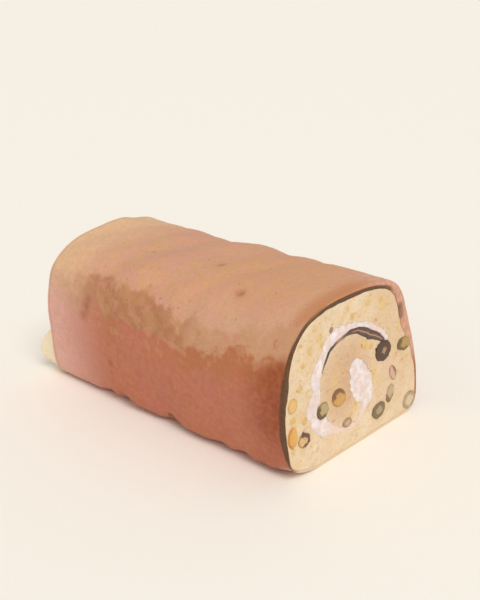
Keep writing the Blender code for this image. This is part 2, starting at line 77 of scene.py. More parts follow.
# Single swellings and hollows of the crust: middle as (x, y, z), height and spread
SWELLINGS = (
    ((-60.0, -7.0, 71.0), 1.9, 9.0), ((-60.0, 24.0, 67.0), -1.3, 7.0),
    ((-63.0, -43.5, 57.0), 1.3, 7.0), ((6.0, 12.5, 71.5), -1.6, 6.0),
    ((-60.0, -1.0, 71.0), 1.0, 5.0), ((76.0, 31.0, 62.0), 0.3, 8.0),
    ((77.0, 46.0, 14.0), 1.6, 14.0),
)
SWELL_SLANT = 0.35
SWELL_FROM = 0.45
UNEVEN = 1.1
UNEVEN_SIZE = 24.0
# Low waves of the browned skin, finer than the solids carry: height and size
SKIN_WAVES = ((0.16, 5.5), (0.09, 2.1))
SKIN_CALM = 3.0
CALM_BASE = 9.0
EDGE_LIFTS = ((50.9, 2.6), (38.9, 1.9), (9.4, 3.4), (-20.9, 3.3), (-32.1, 2.9), (62.0, 1.0))
LIFT_SPREAD = 5.0
LIFT_FROM_Y = -33.0
LIFT_RAMP = 9.0
LIFT_TOP = 24.0
CORNER_LIFT = 3.4
CORNER_SPREAD = 9.0
CORNER_FROM_Y = -22.0
CORNER_RAMP = 20.0
FAR_PILLOW = 1.6
BULGE_MIDDLE = (-34.0, 9.4)
BULGE_HALF = (13.0, 15.2)
BULGE_REACH = 9.8
BULGE_SPREAD = 5.4
BULGE_ROUND = 0.09
CAP_MIDDLE = (0.0, 33.0)
CREAM_PATH = (
    (20.9, 43.2, 1.2), (19.3, 45.2, 1.6), (16.0, 48.5, 1.9), (11.3, 51.5, 2.1), (6.2, 54.4, 2.3),
    (0.2, 56.5, 2.1), (-5.4, 57.2, 2.9), (-10.6, 57.1, 4.2), (-15.0, 56.5, 5.3), (-18.6, 55.0, 5.5),
    (-21.2, 52.9, 4.6), (-23.0, 49.8, 3.9), (-25.2, 46.4, 4.8), (-26.9, 42.8, 6.3), (-27.0, 39.4, 4.9),
    (-26.5, 36.2, 4.4), (-27.3, 32.6, 6.0), (-28.8, 28.6, 6.8), (-27.6, 24.4, 6.0), (-24.6, 20.4, 7.2),
    (-19.4, 16.6, 6.6), (-14.0, 13.6, 3.4), (-8.6, 11.6, 2.2), (-2.6, 10.4, 1.6), (2.2, 11.2, 1.6),
    (5.4, 14.0, 2.4), (8.0, 17.8, 6.0), (7.9, 21.8, 10.2), (5.4, 26.0, 13.0), (3.0, 30.0, 13.2),
    (1.6, 33.2, 12.0), (0.6, 35.6, 10.6), (-0.8, 37.6, 7.6),
)
CREAM_RAGGED = 0.55
RAGGED_SIZE = 3.4
FINE_RAGS = (0.28, 1.25)
TORN_RAGS = (0.95, 2.3)
THINNEST_HALF = 0.3
DARK_LAYER = (
    (0.6, 1.4), (1.5, 2.6), (2.4, 3.3), (3.4, 3.9), (4.3, 3.5), (5.2, 2.5), (6.0, 1.6), (7.0, 1.2),
    (9.0, 1.0), (11.0, 1.1), (12.6, 0.8),
)
CUT_FRUIT = {
    "raisin_1": (18.8, 38.4, 5.8, 4.9, -20.0, 1.2),
    "raisin_2": (18.1, 10.2, 5.1, 3.8, 0.0, 1.5),
    "raisin_3": (-4.9, 13.4, 3.2, 2.2, -12.0, 0.9),
    "raisin_4": (34.5, 36.5, 5.3, 3.2, -14.0, 1.4),
    "raisin_5": (42.0, 6.0, 5.0, 4.4, 0.0, 2.0),
    "raisin_6": (26.2, 15.3, 2.8, 4.3, -8.0, 1.0),
    "raisin_7": (27.4, 24.9, 2.1, 4.3, 28.0, 0.8),
    "raisin_8": (-33.6, 17.0, 3.9, 3.2, -25.0, 1.0),
    "raisin_9": (-22.1, 25.7, 3.8, 3.9, 12.0, 1.0),
    "sultana_1": (-40.8, 21.0, 2.8, 4.9, 6.0, 1.2),
    "sultana_2": (-11.5, 27.6, 5.0, 3.9, -35.0, 1.2),
    "sultana_3": (-41.3, 35.2, 2.6, 3.2, 4.0, 0.8),
}
FAR_FRUIT = {
    "raisin_10": (24.0, 22.0, 4.6, 3.8, 20.0, 1.0),
    "raisin_11": (-14.0, 30.5, 4.2, 3.6, -30.0, 1.0),
    "raisin_12": (8.0, 62.0, 4.4, 3.2, 10.0, 1.0),
    "raisin_13": (33.0, 48.0, 3.2, 4.6, 15.0, 1.0),
    "sultana_4": (-36.0, 46.0, 3.0, 4.2, -15.0, 1.0),
}
CAP_RADIUS = 42.0
# Dimples of the crust: place along the roll, share round it, size and depth
DIMPLES = (
    (40.1, 0.59, 3.0, 1.3), (16.9, 0.54, 2.4, 0.9), (-20.0, 0.55, 1.0, 0.8),
    (-38.2, 0.695, 3.4, 1.4), (-36.2, 0.68, 2.8, 0.3), (-40.0, 0.71, 3.2, 0.4),
    (-25.1, 0.78, 2.6, 0.9), (-4.0, 0.42, 2.6, 0.8), (55.0, 0.36, 2.2, 0.8),
)
DIMPLE_SPREAD = 0.62
DIMPLE_SHARE = 0.8
DIMPLE_REACH = 9.0
# How fast the painted shade of a dimple fades, and how strong the painted shade in the seam is
DIMPLE_SHADE_FALLOFF = 0.7
SEAM_SHADE = 0.8
SEAM_HEIGHT = 36.0
SEAM_LOWEST = 8.0
SEAM_DEPTH = 1.1
SEAM_WIDTH = 0.8
SEAM_LIP = (0.45, 2.2, 1.6)
SEAM_REACH = 6.0
SEAM_END = 3.0
SEAM_FADE = 5.0
SEAM_WAVES = ((1.3, 0.055, 0.0), (0.6, 0.16, 1.0))

# Fineness of the pieces
ROUND_POINTS = 360
CRUST_STATIONS = 190
INNER_STATIONS = 6
FAR_TURNS = (90.0, 60.0, 30.0, 0.0)
CUT_TURNS = (0.0, 15.0, 30.0, 45.0, 60.0, 75.0, 90.0)
BAND_STEPS = (0.25, 0.5, 0.75, 1.0)
CUT_SPACING = 0.5
FAR_SPACING = 0.62
PATH_STEP = 0.05
OUTLINE_STEPS = 2400
# Angles of the points round the cream's two rounded ends, and how many there are
START_TURNS = (1.35, 0.2, 5)
END_TURNS = (0.15, 1.4, 8)

# Browned edge that shows at the cut, by share round the section from the base's middle: depth of
# its inner side, how dark it is, and how far the dark reaches back along the crust
RIM_DEPTHS = (
    (0.0, 1.0), (0.19, 1.1), (0.22, 1.3), (0.25, 2.9), (0.285, 5.8), (0.307, 6.8), (0.333, 7.1),
    (0.365, 6.0), (0.385, 4.7), (0.403, 3.9), (0.422, 3.3), (0.45, 3.0), (0.475, 3.0), (0.505, 2.9),
    (0.537, 2.7), (0.568, 2.4), (0.588, 1.9), (0.608, 1.5), (0.63, 1.2), (0.655, 1.2), (0.68, 1.6),
    (0.7, 2.2), (0.715, 2.1), (0.73, 1.2), (0.75, 0.6), (0.85, 0.55), (0.88, 1.0), (1.0, 1.0),
)
RIM_DARKNESS = (
    (0.0, 0.0), (0.18, 0.05), (0.21, 0.45), (0.25, 0.3), (0.28, 0.05), (0.318, 0.1), (0.331, 0.6),
    (0.352, 0.65), (0.367, 0.15), (0.388, 0.3), (0.41, 0.75), (0.43, 0.85), (0.46, 1.0), (0.8, 1.0),
    (0.845, 0.6), (0.87, 0.05), (1.0, 0.0),
)
RIM_REACH = (
    (0.0, 0.0), (0.54, 0.0), (0.58, 0.5), (0.62, 0.9), (0.66, 1.4), (0.7, 2.0), (0.74, 2.7),
    (0.78, 3.2), (0.81, 2.4), (0.84, 1.0), (0.88, 0.1), (1.0, 0.0),
)
RIM_RAGGED = 0.22
RIM_SOFT = 0.9
# Dark edge at the far end: strength, start and length, by angle round it and by place on the crust
FAR_TURN_DARK = (0.55, 10.0, 60.0)
FAR_DARK = (0.5, 3.0, 1.4)
# Angles over which the rounded edge at the cut turns dark
CUT_TURN_DARK = (55.0, 30.0)
# Cut face of the browned edge: how far it falls back, and how uneven it is
BAND_DEPTH = 0.15
BAND_UNEVEN = 0.12
# Where the inner side of the crust starts and ends, in from its two edges, and the far face's step
INNER_START, INNER_END = 1.0, 0.6
FAR_STEP = 0.02
# Where the walls of the crumb start and end, in from the two edges
WALL_INSET = 1.5
FAR_RIM = 1.2
FAR_RIM_HIDDEN = (0.73, 0.95)
FAR_RIM_FADE = 0.03
FAR_RIM_LEAST = 0.1
FIT = 0.08

# Height on the long sides where the tan of the top turns into the red-brown below: place, height
BORDER = (
    (-80.0, 47.0), (-38.0, 46.0), (-17.0, 45.0), (-8.0, 47.0), (8.0, 44.5), (20.0, 46.5), (33.0, 50.0),
    (41.0, 48.0), (50.0, 50.0), (63.0, 51.0), (70.0, 54.0), (76.0, 57.0),
)
# Where the tints of the crust start along the roll, and the length over which each grows
BROWN_ALONG = (52.0, 22.0)
TOASTED_ALONG = (68.0, 8.0)
# The far end's paler crust is painted light
FAR_LIGHT_ALONG = (-22.0, 48.0)
BARE_ALONG = (70.0, 6.0)
CURL_ALONG = (56.0, 18.0)
NEAR_ALONG = (2.0, 28.0)
# How the curled edge grows and ends round the section, and where the base is bare of crust
CURL_ROUND = ((0.0, 0.0), (0.2, 0.0), (0.26, 1.0), (0.42, 1.0), (0.5, 0.0), (1.0, 0.0))
BARE_ROUND = (0.13, 0.04)
# Heights over which the brown by the cut and the toasted strip fade, and where brown weakens across
BROWN_OVER, BROWN_FADE = 2.0, 8.0
BROWN_UP = (12.0, 14.0)
BROWN_ACROSS = (5.0, 15.0)
TOASTED_UP = (56.0, 10.0)
# The rolled-in middle of the crumb, its middle and half widths, and the warmer side of the crumb
ROLLED_IN = ((-8.0, 17.0), (35.0, 19.0))
WARM_ACROSS = (4.0, 20.0)
WARM_UP = (8.0, 16.0)
# Uneven heights of the crumb and of the cream at the ends: height, size and shift of each wave
CUT_ROUGH = ((0.2, 7.0, 1.0), (0.14, 1.6, 4.0))
FAR_ROUGH = ((0.25, 7.0, 11.0), (0.14, 1.6, 14.0))
CREAM_LUMPS = ((0.3, 3.6, 2.0), (0.16, 1.3, 6.0))
# Where the pores end close to the crust, by share from the middle, at the cut and at the far end
CUT_CALM = (0.94, 0.05)
FAR_CALM = (0.93, 0.05)
# Crevice between the crumb and the curl at the cut: depth, and where it starts across and up
CREVICE = (0.4, (22.0, 5.0), (42.0, 6.0))
# Stretch of the cream that lies thin over the crumb, by place along its path
THIN_FROM, THIN_TO, THIN_FADE = 19.6, 26.2, 1.6


def bell(value):
    """Soft bump of height 1 around zero."""
    return math.exp(-value * value)


def smooth_step(value):
    """Zero up to 0, one from 1 on, with a soft rise between."""
    value = min(1.0, max(0.0, value))
    return value * value * (3.0 - 2.0 * value)


def rise(value, start, length):
    """Zero up to a start, one from a length beyond it."""
    return smooth_step((value - start) / length)


def fall(value, end, length):
    """One up to a length before an end, zero from it on."""
    return smooth_step((end - value) / length)


def waver(y, z, size, shift):
    """Smooth random value around zero over an end of the roll, in waves of a size."""
    return noise.noise(Vector((y / size, z / size, shift)))


def waves(y, z, rows):
    """Uneven height over an end of the roll, from rows of height, size and shift."""
    return sum(height * waver(y, z, size, shift) for height, size, shift in rows)


def along_keys(keys, place):
    """Value at a place between given (place, value) keys."""
    for (first, low), (second, high) in zip(keys, keys[1:]):
        if place <= second:
            return low + (high - low) * rise(place, first, second - first)
    return keys[-1][1]


def section_point(angle, quarters):
    """Outline of the roll as y and z: four quarters of superellipses, flat below and leaning."""
    across, up = math.cos(angle), math.sin(angle)
    power = 2.0 / quarters[(across >= 0.0, up >= 0.0)]
    reach = HEIGHT - SHOULDER if up >= 0.0 else SHOULDER
    y = 0.5 * ROLL_WIDTH * math.copysign(abs(across) ** power, across)
    z = SHOULDER + reach * math.copysign(abs(up) ** power, up)
    z = max(0.0, z - BASE_FLAT) * HEIGHT / (HEIGHT - BASE_FLAT)
    return Vector((y + LEAN * (0.5 - z / HEIGHT) - CENTRING, z))


def even_outline(count, quarters):
    """Points and outward directions of a section at even steps, from the middle of the base."""
    dense = [section_point(math.tau * (step / OUTLINE_STEPS - 0.25), quarters)
             for step in range(OUTLINE_STEPS + 1)]
    lengths = [0.0]
    for first, second in zip(dense, dense[1:]):
        lengths.append(lengths[-1] + (second - first).length)
    points = []
    step = 0
    for index in range(count):
        wanted = lengths[-1] * index / count
        while lengths[step + 1] < wanted:
            step += 1
        share = (wanted - lengths[step]) / (lengths[step + 1] - lengths[step])
        points.append(dense[step].lerp(dense[step + 1], share))
    outward = []
    for index in range(count):
        along = points[(index + 1) % count] - points[index - 1]
        outward.append(Vector((along.y, -along.x)).normalized())
    return points, outward


SECTIONS = even_outline(ROUND_POINTS, CUT_QUARTERS), even_outline(ROUND_POINTS, FAR_QUARTERS)
INDICES = range(ROUND_POINTS)
GIRTH = sum((SECTIONS[0][0][index] - SECTIONS[0][0][index - 1]).length for index in INDICES)


def section_at(x, index):
    """A section's point and outward direction along the roll, between its two ends' sections."""
    share = fall(x, BLEND_START, BLEND_LENGTH)
    (cut_points, cut_outward), (far_points, far_outward) = SECTIONS
    point = cut_points[index].lerp(far_points[index], share)
    return point, cut_outward[index].lerp(far_outward[index], share).normalized()


def relief(x, y, z):
    """How far the crust stands out of the plain section at a place."""
    top = rise(z / HEIGHT, SWELL_FROM, SWELL_FROM)
    along = x - SWELL_SLANT * y
    swell = sum(height * bell((along - place) / spread) for place, height, spread in TOP_SWELLS)
    uneven = UNEVEN * noise.noise(Vector((x, y, z)) / UNEVEN_SIZE)
    for middle, height, spread in SWELLINGS:
        uneven += height * bell((Vector((x, y, z)) - Vector(middle)).length / spread)
    return (top * swell + uneven) * smooth_step(z / CALM_BASE)


def edge_lift(x, y, z):
    """How far the lower -Y edge is lifted off the surface at a place."""
    lift = max(height * bell((x - place) / LIFT_SPREAD) for place, height in EDGE_LIFTS)
    lift *= fall(y, LIFT_FROM_Y, LIFT_RAMP)
    corner = CORNER_LIFT * bell((x - CUT_FACE_X) / CORNER_SPREAD)
    corner *= fall(y, CORNER_FROM_Y, CORNER_RAMP)
    return max(lift, corner) * smooth_step(1.0 - z / LIFT_TOP)


def far_edge_x(z):
    """Where the crust ends at the far end, which is cut aslant."""
    return CUT_FACE_X - CRUST_LENGTH - FAR_SLANT * (1.0 - z / HEIGHT)


def far_bulge(y, z, share):
    """How far the crumb stands out of the far end; share is 1 at the crust and 0 in the middle."""
    across = (y - BULGE_MIDDLE[0]) / BULGE_HALF[0]
    up = (z - BULGE_MIDDLE[1]) / BULGE_HALF[1]
    lump = BULGE_REACH * math.sqrt(max(0.0, 1.0 - across ** 6) * max(0.0, 1.0 - up ** 2))
    start = min(1.0, (1.0 - share) / BULGE_ROUND)
    return FAR_PILLOW * (1.0 - share ** 4) + lump * math.sqrt(start * (2.0 - start))


def surface_point(x, tuck, index):
    """A point of the crust at a place along the roll, tucked in by some depth."""
    point, out = section_at(x, index)
    y, z = point + out * (relief(x, *point) - tuck)
    return Vector((x, y, max(0.0, z) + edge_lift(x, y, z)))


def path_at(path, place):
    """Smooth curve through given points: y, z and thickness at a place counted in points."""
    last = len(path) - 1
    index = min(int(place), last - 1)
    share = place - index
    before = Vector(path[max(0, index - 1)])
    first, second = Vector(path[index]), Vector(path[index + 1])
    after = Vector(path[min(last, index + 2)])
    slope_in, slope_out = 0.5 * (second - before), 0.5 * (after - first)
    square, cube = share ** 2, share ** 3
    return (first * (2.0 * cube - 3.0 * square + 1.0) + slope_in * (cube - 2.0 * square + share)
            + second * (3.0 * square - 2.0 * cube) + slope_out * (cube - square))


def path_side(path, place):
    """Direction across the middle line at a place, to the left of the way it runs."""
    step = 0.05
    last = len(path) - 1
    along = path_at(path, min(last, place + step)) - path_at(path, max(0.0, place - step))
    return Vector((-along.y, along.x)).normalized()


def ragged(point, side, place):
    """Uneven edge of the cream: finer rags than the solid has, but smooth along the dark layer."""
    coarse = CREAM_RAGGED * waver(*point, RAGGED_SIZE, 7.3 * side)
    if side > 0.0 and dark_thickness(place):
        return 0.5 * coarse
    fine, fine_size = FINE_RAGS
    torn, torn_size = TORN_RAGS
    return (coarse + fine * waver(*point, fine_size, 3.1 * side)
            + torn * waver(*point, torn_size, 5.7 * side))


def dark_thickness(place):
    """Thickness of the dark layer beside a place of the cream's path, zero where there is none."""
    start, end = DARK_LAYER[0][0], DARK_LAYER[-1][0]
    if not start <= place <= end:
        return 0.0
    for (first, thin), (second, thick) in zip(DARK_LAYER, DARK_LAYER[1:]):
        if first <= place <= second:
            return thin + (thick - thin) * (place - first) / (second - first)
    return 0.0


def path_places():
    """Steps along the cream's path and its rounded ends: place, share of the width, run-out."""
    last = len(CREAM_PATH) - 1
    count = round(last / PATH_STEP)
    rows = [(0.0, math.cos(angle), -math.sin(angle)) for angle in np.linspace(*START_TURNS)]
    rows += [(last * index / count, 1.0, 0.0) for index in range(count + 1)]
    rows += [(float(last), math.cos(angle), math.sin(angle)) for angle in np.linspace(*END_TURNS)]
    return rows


def cream_rows():
    """Rows across the cream: middle, direction across, and half width on both sides."""
    rows = []
    for place, share, run_out in path_places():
        y, z, thickness = path_at(CREAM_PATH, place)
        middle, side = Vector((y, z)), path_side(CREAM_PATH, place)
        ahead = Vector((side.y, -side.x))
        half = 0.5 * thickness
        middle = middle + ahead * half * run_out
        left, right = (share * max(THINNEST_HALF, half + ragged(Vector((y, z)), side_of, place))
                       for side_of in (1.0, -1.0))
        rows.append((place, middle, side, left, right))
    return rows


CREAM_ROWS = cream_rows()


def filling_loop():
    """Closed outline of the cream and the dark layer together, as the crumb holds them."""
    left, right = [], []
    for place, middle, side, left_half, right_half in CREAM_ROWS:
        dark = dark_thickness(place)
        inner = left_half + FIT
        inner += GAP + dark if dark else 0.0
        left.append(middle + side * inner)
        right.append(middle - side * (right_half + FIT))
    return left + right[::-1]


def rim_inner(index):
    """Depth from the plain section to the inner side of the browned edge, at the cut."""
    width = along_keys(RIM_DEPTHS, index / ROUND_POINTS) - EDGE_WIDTHS[index]
    turn = math.tau * index / ROUND_POINTS
    uneven = noise.noise(Vector((9.0 * math.cos(turn), 9.0 * math.sin(turn), 6.0)))
    return EDGE_WIDTHS[index] + width * (1.0 + RIM_RAGGED * uneven)


def far_rim_inner(index):
    """The same at the far end, where the squeezed-out crumb hides the edge low on the -Y side."""
    low, high = FAR_RIM_HIDDEN
    share = index / ROUND_POINTS
    hidden = rise(share, low, FAR_RIM_FADE) * fall(share, high, FAR_RIM_FADE)
    return FAR_EDGE + FAR_RIM * (1.0 - hidden) + FAR_RIM_LEAST


EDGE_WIDTHS = [along_keys(EDGE_RADII, index / ROUND_POINTS) for index in INDICES]
RIM_INNER = [rim_inner(index) for index in INDICES]
RIM_DARK = [along_keys(RIM_DARKNESS, index / ROUND_POINTS) for index in INDICES]
RIM_BACK = [along_keys(RIM_REACH, index / ROUND_POINTS) for index in INDICES]
FAR_RIM_INNER = [far_rim_inner(index) for index in INDICES]
FAR_STARTS = [far_edge_x(SECTIONS[0][0][index].y) for index in INDICES]


def girth_gap(first, second):
    """Distance round the section between two shares of it, in millimetres."""
    gap = abs(first - second) % 1.0
    return min(gap, 1.0 - gap) * GIRTH


SEAM_SIDE = [index for index in INDICES
             if SECTIONS[0][0][index].x > 0.0 and SECTIONS[0][0][index].y > SEAM_LOWEST]
SEAM_INDICES = {}


def seam_index(x):
    """Point of the section where the seam of the rolled sheet runs, worked out once a millimetre."""
    if round(x) not in SEAM_INDICES:
        height = SEAM_HEIGHT + sum(size * math.sin(rate * x + turn) for size, rate, turn in SEAM_WAVES)
        nearest = min(SEAM_SIDE, key=lambda index: abs(SECTIONS[0][0][index].y - height))
        SEAM_INDICES[round(x)] = nearest
    return SEAM_INDICES[round(x)]


def crust_marks(x, index):
    """Depth of the dimples and the seam at a place of the crust, and how strongly painted shade
    darkens them.
    """
    depth = dark = 0.0
    for place, around, size, dent in DIMPLES:
        off = (x - place) ** 2 + girth_gap(index / ROUND_POINTS, around) ** 2
        near = off / (DIMPLE_SPREAD * size) ** 2
        if near < DIMPLE_REACH:
            depth += DIMPLE_SHARE * dent * math.exp(-near)
            dark += math.exp(-DIMPLE_SHADE_FALLOFF * near)
    off_seam = (index - seam_index(x)) / ROUND_POINTS * GIRTH
    if abs(off_seam) < SEAM_REACH and x < CUT_FACE_X - SEAM_END:
        fade = fall(x, CUT_FACE_X - SEAM_END, SEAM_FADE)
        lip, lip_place, lip_spread = SEAM_LIP
        depth += fade * (SEAM_DEPTH * bell(off_seam / SEAM_WIDTH)
                         - lip * bell((off_seam - lip_place) / lip_spread))
        dark += SEAM_SHADE * fade * bell(off_seam)
    return depth, dark


def fine_relief(x, y, z):
    """Low relief of the browned skin, finer than the solid carries."""
    at = Vector((x, y, z))
    skin = sum(height * noise.noise(at / size) for height, size in SKIN_WAVES)
    return skin * smooth_step(z / SKIN_CALM)


def join_rings(rings, closed=False):
    """Quads between neighbouring rings of point numbers."""
    faces = []
    for here, there in zip(rings, rings[1:] + rings[:1] if closed else rings[1:]):
        for index in range(len(here)):
            after = (index + 1) % len(here)
            faces.append((here[index], here[after], there[after], there[index]))
    return faces


def piece(name, points, faces, values=None, colours=None):
    """Closed, smooth object from points in millimetres, with values and colours kept at its points."""
    mesh = bpy.data.meshes.new(name)
    mesh.from_pydata([tuple(point * MM) for point in points], [], faces)
    shape = bmesh.new()
    shape.from_mesh(mesh)
    bmesh.ops.recalc_face_normals(shape, faces=shape.faces)
    shape.to_mesh(mesh)
    shape.free()
    mesh.shade_smooth()
    for label, column in (values or {}).items():
        mesh.attributes.new(label, "FLOAT", "POINT").data.foreach_set("value", column)
    for label, column in (colours or {}).items():
        flat = [channel for colour in column for channel in colour]
        mesh.attributes.new(label, "FLOAT_COLOR", "POINT").data.foreach_set("color", flat)
    made = bpy.data.objects.new(name, mesh)
    bpy.context.scene.collection.objects.link(made)
    return made


def crust_tints(x, place, index):
    """How strongly each tint of the crust shows at a place."""
    border = along_keys(BORDER, x)
    share = index / ROUND_POINTS
    brown = rise(x, *BROWN_ALONG) * fall(place.z, border + BROWN_OVER, BROWN_FADE)
    brown *= 1.0 - 0.75 * rise(place.y, *BROWN_ACROSS)
    return {
        "below_border": border - place.z,
        "cut_brown": brown * (0.45 + 0.55 * rise(place.z, *BROWN_UP)),
        "toasted": rise(x, *TOASTED_ALONG) * rise(place.z, *TOASTED_UP),
        # Painted light: paler towards the far end
        "far_crust_painted_light": fall(x, *FAR_LIGHT_ALONG),
        "bare": rise(x, *BARE_ALONG) * (1.0 - rise(min(share, 1.0 - share), *BARE_ROUND)),
        "curl": rise(x, *CURL_ALONG) * along_keys(CURL_ROUND, share),
        "near": rise(x, *NEAR_ALONG),
    }


def rim_by_cut(x, index):
    """How dark the crust is close to its edge at the cut."""
    reach = RIM_BACK[index]
    return RIM_DARK[index] * min(1.0, reach) * smooth_step((x - CUT_FACE_X + reach) / RIM_SOFT + 0.5)


def make_crust():
    """Browned skin of the roll as a closed shell, with its dark edge at the cut."""
    points, values = [], {}

    def add_ring(x_of, tuck_of, rim_of, outside=False):
        for index in INDICES:
            x, tuck = x_of(index), tuck_of(index)
            dark = 0.0
            if outside:
                depth, dark = crust_marks(x, index)
                depth -= fine_relief(x, *section_at(x, index)[0])
                tuck += depth
            place = surface_point(x, tuck, index)
            points.append(place)
            # The dent value is painted shade in the dimples and along the seam
            tints = {**crust_tints(x, place, index), "rim": rim_of(index), "dent": min(1.0, dark)}
            for label, value in tints.items():
                values.setdefault(label, []).append(value)

    strength, *turns_dark = FAR_TURN_DARK
    for turn in FAR_TURNS:
        inward = FAR_EDGE * (1.0 - math.sin(math.radians(turn)))
        tuck = FAR_EDGE * (1.0 - math.cos(math.radians(turn)))
        add_ring(lambda index: FAR_STARTS[index] + inward, lambda index: tuck,
                 lambda index: strength * rise(turn, *turns_dark))
    for station in range(1, CRUST_STATIONS):
        share = station / CRUST_STATIONS

        def station_x(index):
            first, last = FAR_STARTS[index] + FAR_EDGE, CUT_FACE_X - EDGE_LENGTH * EDGE_WIDTHS[index]
            return first + (last - first) * share

        def station_rim(index):
            x = station_x(index)
            dark, end, length = FAR_DARK
            return max(rim_by_cut(x, index), dark * fall(x, FAR_STARTS[index] + end, length))

        add_ring(station_x, lambda index: 0.0, station_rim, outside=True)
    for turn in CUT_TURNS:
        sine, cosine = math.sin(math.radians(turn)), math.cos(math.radians(turn))
        round_edge = rise(turn, *CUT_TURN_DARK)
        add_ring(lambda index: CUT_FACE_X - EDGE_LENGTH * EDGE_WIDTHS[index] * (1.0 - sine),
                 lambda index: EDGE_WIDTHS[index] * (1.0 - cosine),
                 lambda index: RIM_DARK[index] * max(min(1.0, RIM_BACK[index]), round_edge))
    for step in BAND_STEPS:
        add_ring(lambda index: (CUT_FACE_X - BAND_DEPTH * step + BAND_UNEVEN
                                * noise.noise(Vector((index * 0.31, step * 2.0, 5.0))) * step),
                 lambda index: EDGE_WIDTHS[index] + (RIM_INNER[index] - EDGE_WIDTHS[index]) * step,
                 lambda index: RIM_DARK[index])
    for station in range(INNER_STATIONS + 1):
        share = station / INNER_STATIONS
        first = CUT_FACE_X - INNER_START
        add_ring(lambda index: first + (FAR_STARTS[index] + INNER_END - first) * share,
                 lambda index: RIM_INNER[index] + (FAR_RIM_INNER[index] - RIM_INNER[index]) * share,
                 lambda index: RIM_DARK[index])
    for step in (1.0, 0.5):
        add_ring(lambda index: FAR_STARTS[index] - FAR_STEP,
                 lambda index: FAR_EDGE + (FAR_RIM_INNER[index] - FAR_EDGE) * step, lambda index: 1.0)
    rings = [range(start, start + ROUND_POINTS) for start in range(0, len(points), ROUND_POINTS)]
    return piece("crust", points, join_rings(rings, closed=True), values)


def inside(points, loop):
    """Which of the points lie inside a closed outline."""
    hits = np.zeros(len(points), bool)
    ys, zs = points[:, 0], points[:, 1]
    for (y_a, z_a), (y_b, z_b) in zip(loop, loop[1:] + loop[:1]):
        crosses = (z_a > zs) != (z_b > zs)
        if z_a != z_b:
            hits ^= crosses & (ys < (y_b - y_a) * (zs - z_a) / (z_b - z_a) + y_a)
    return hits


def between(points, loops):
    """Which of the points lie inside the first outline and outside the others."""
    kept = inside(points, loops[0])
    for hole in loops[1:]:
        kept &= ~inside(points, hole)
    return kept


def fill(loops, spacing, seed):
    """Fine triangles between an outline and the holes in it: points, outlines first, and faces."""
    draw = np.random.default_rng(seed)
    outer = np.array(loops[0])
    low, high = outer.min(0), outer.max(0)
    rows = np.arange(low[1], high[1], spacing * 0.866)
    columns = np.arange(low[0], high[0], spacing)
    grid = np.array([(y + (0.5 * spacing if number % 2 else 0.0), z)
                     for number, z in enumerate(rows) for y in columns])
    grid += draw.uniform(-0.22, 0.22, grid.shape) * spacing
    grid = grid[between(grid, loops)]
    edge_points = [point for loop in loops for point in loop]
    tree = kdtree.KDTree(len(edge_points))
    for number, point in enumerate(edge_points):
        tree.insert((*point, 0.0), number)
    tree.balance()
    grid = [Vector(point) for point in grid if tree.find((*point, 0.0))[2] > 0.62 * spacing]
    corners = [Vector(point) for point in edge_points] + grid
    edges, start = [], 0
    for loop in loops:
        edges += [(start + index, start + (index + 1) % len(loop)) for index in range(len(loop))]
        start += len(loop)
    points, _, faces, _, _, _ = geometry.delaunay_2d_cdt(corners, edges, [], 1, 1e-7, False)
    middles = np.array([tuple((points[a] + points[b] + points[c]) / 3.0) for a, b, c in faces])
    return points, [face for face, keep in zip(faces, between(middles, loops)) if keep]


# Open pores of the crumb: size of the cells they lie in, share of the cells that have one, and depth
PORE_SIZES = ((4.6, 0.14, 0.75), (2.5, 0.34, 0.7), (1.45, 0.5, 0.6))
# Radius of a pore in shares of its cell: the least, and what chance adds
PORE_RADIUS, PORE_CHANCE = 0.24, 0.16


def pores(y, z, seed):
    """Depth of the open pores of the crumb at a place, and how strongly painted shade darkens it."""
    depth = pore_shade = 0.0
    for size, share, deep in PORE_SIZES:
        distances, centres = noise.voronoi(Vector((y, z, seed)) / size)
        pick = 0.5 + 0.5 * noise.cell(centres[0] * 5.37 + Vector((seed, 0.0, 0.0)))
        radius = size * (PORE_RADIUS + PORE_CHANCE * pick / share)
        near = distances[0] * size / radius
        if pick <= share and near < 1.0:
            bowl = math.sqrt(1.0 - near * near)
            depth = max(depth, deep * radius * bowl)
            pore_shade = max(pore_shade, smooth_step(1.6 * bowl))
    return depth, pore_shade


def fruit_ratio(y, z, fruit):
    """How far a place is from a fruit's middle, 1 at its outline."""
    fruit_y, fruit_z, half_width, half_height, tilt, _ = fruit
    turn = math.radians(tilt)
    off_y, off_z = y - fruit_y, z - fruit_z
    across = off_y * math.cos(turn) + off_z * math.sin(turn)
    up = off_z * math.cos(turn) - off_y * math.sin(turn)
    return math.hypot(across / half_width, up / half_height)


# Hollows that hold the fruit: depth, and where it ends and fades by ratio to the fruit's outline
POCKET_RIM = (0.25, 1.12, 0.12)
POCKET_FLOOR = (2.2, 0.96, 0.22)


def pocket(y, z, fruits):
    """Depth of the hollows that hold the fruit."""
    depth = 0.0
    for fruit in fruits.values():
        ratio = fruit_ratio(y, z, fruit)
        if ratio < POCKET_RIM[1]:
            depth = max(depth, *(deep * fall(ratio, end, length)
                                 for deep, end, length in (POCKET_RIM, POCKET_FLOOR)))
    return depth


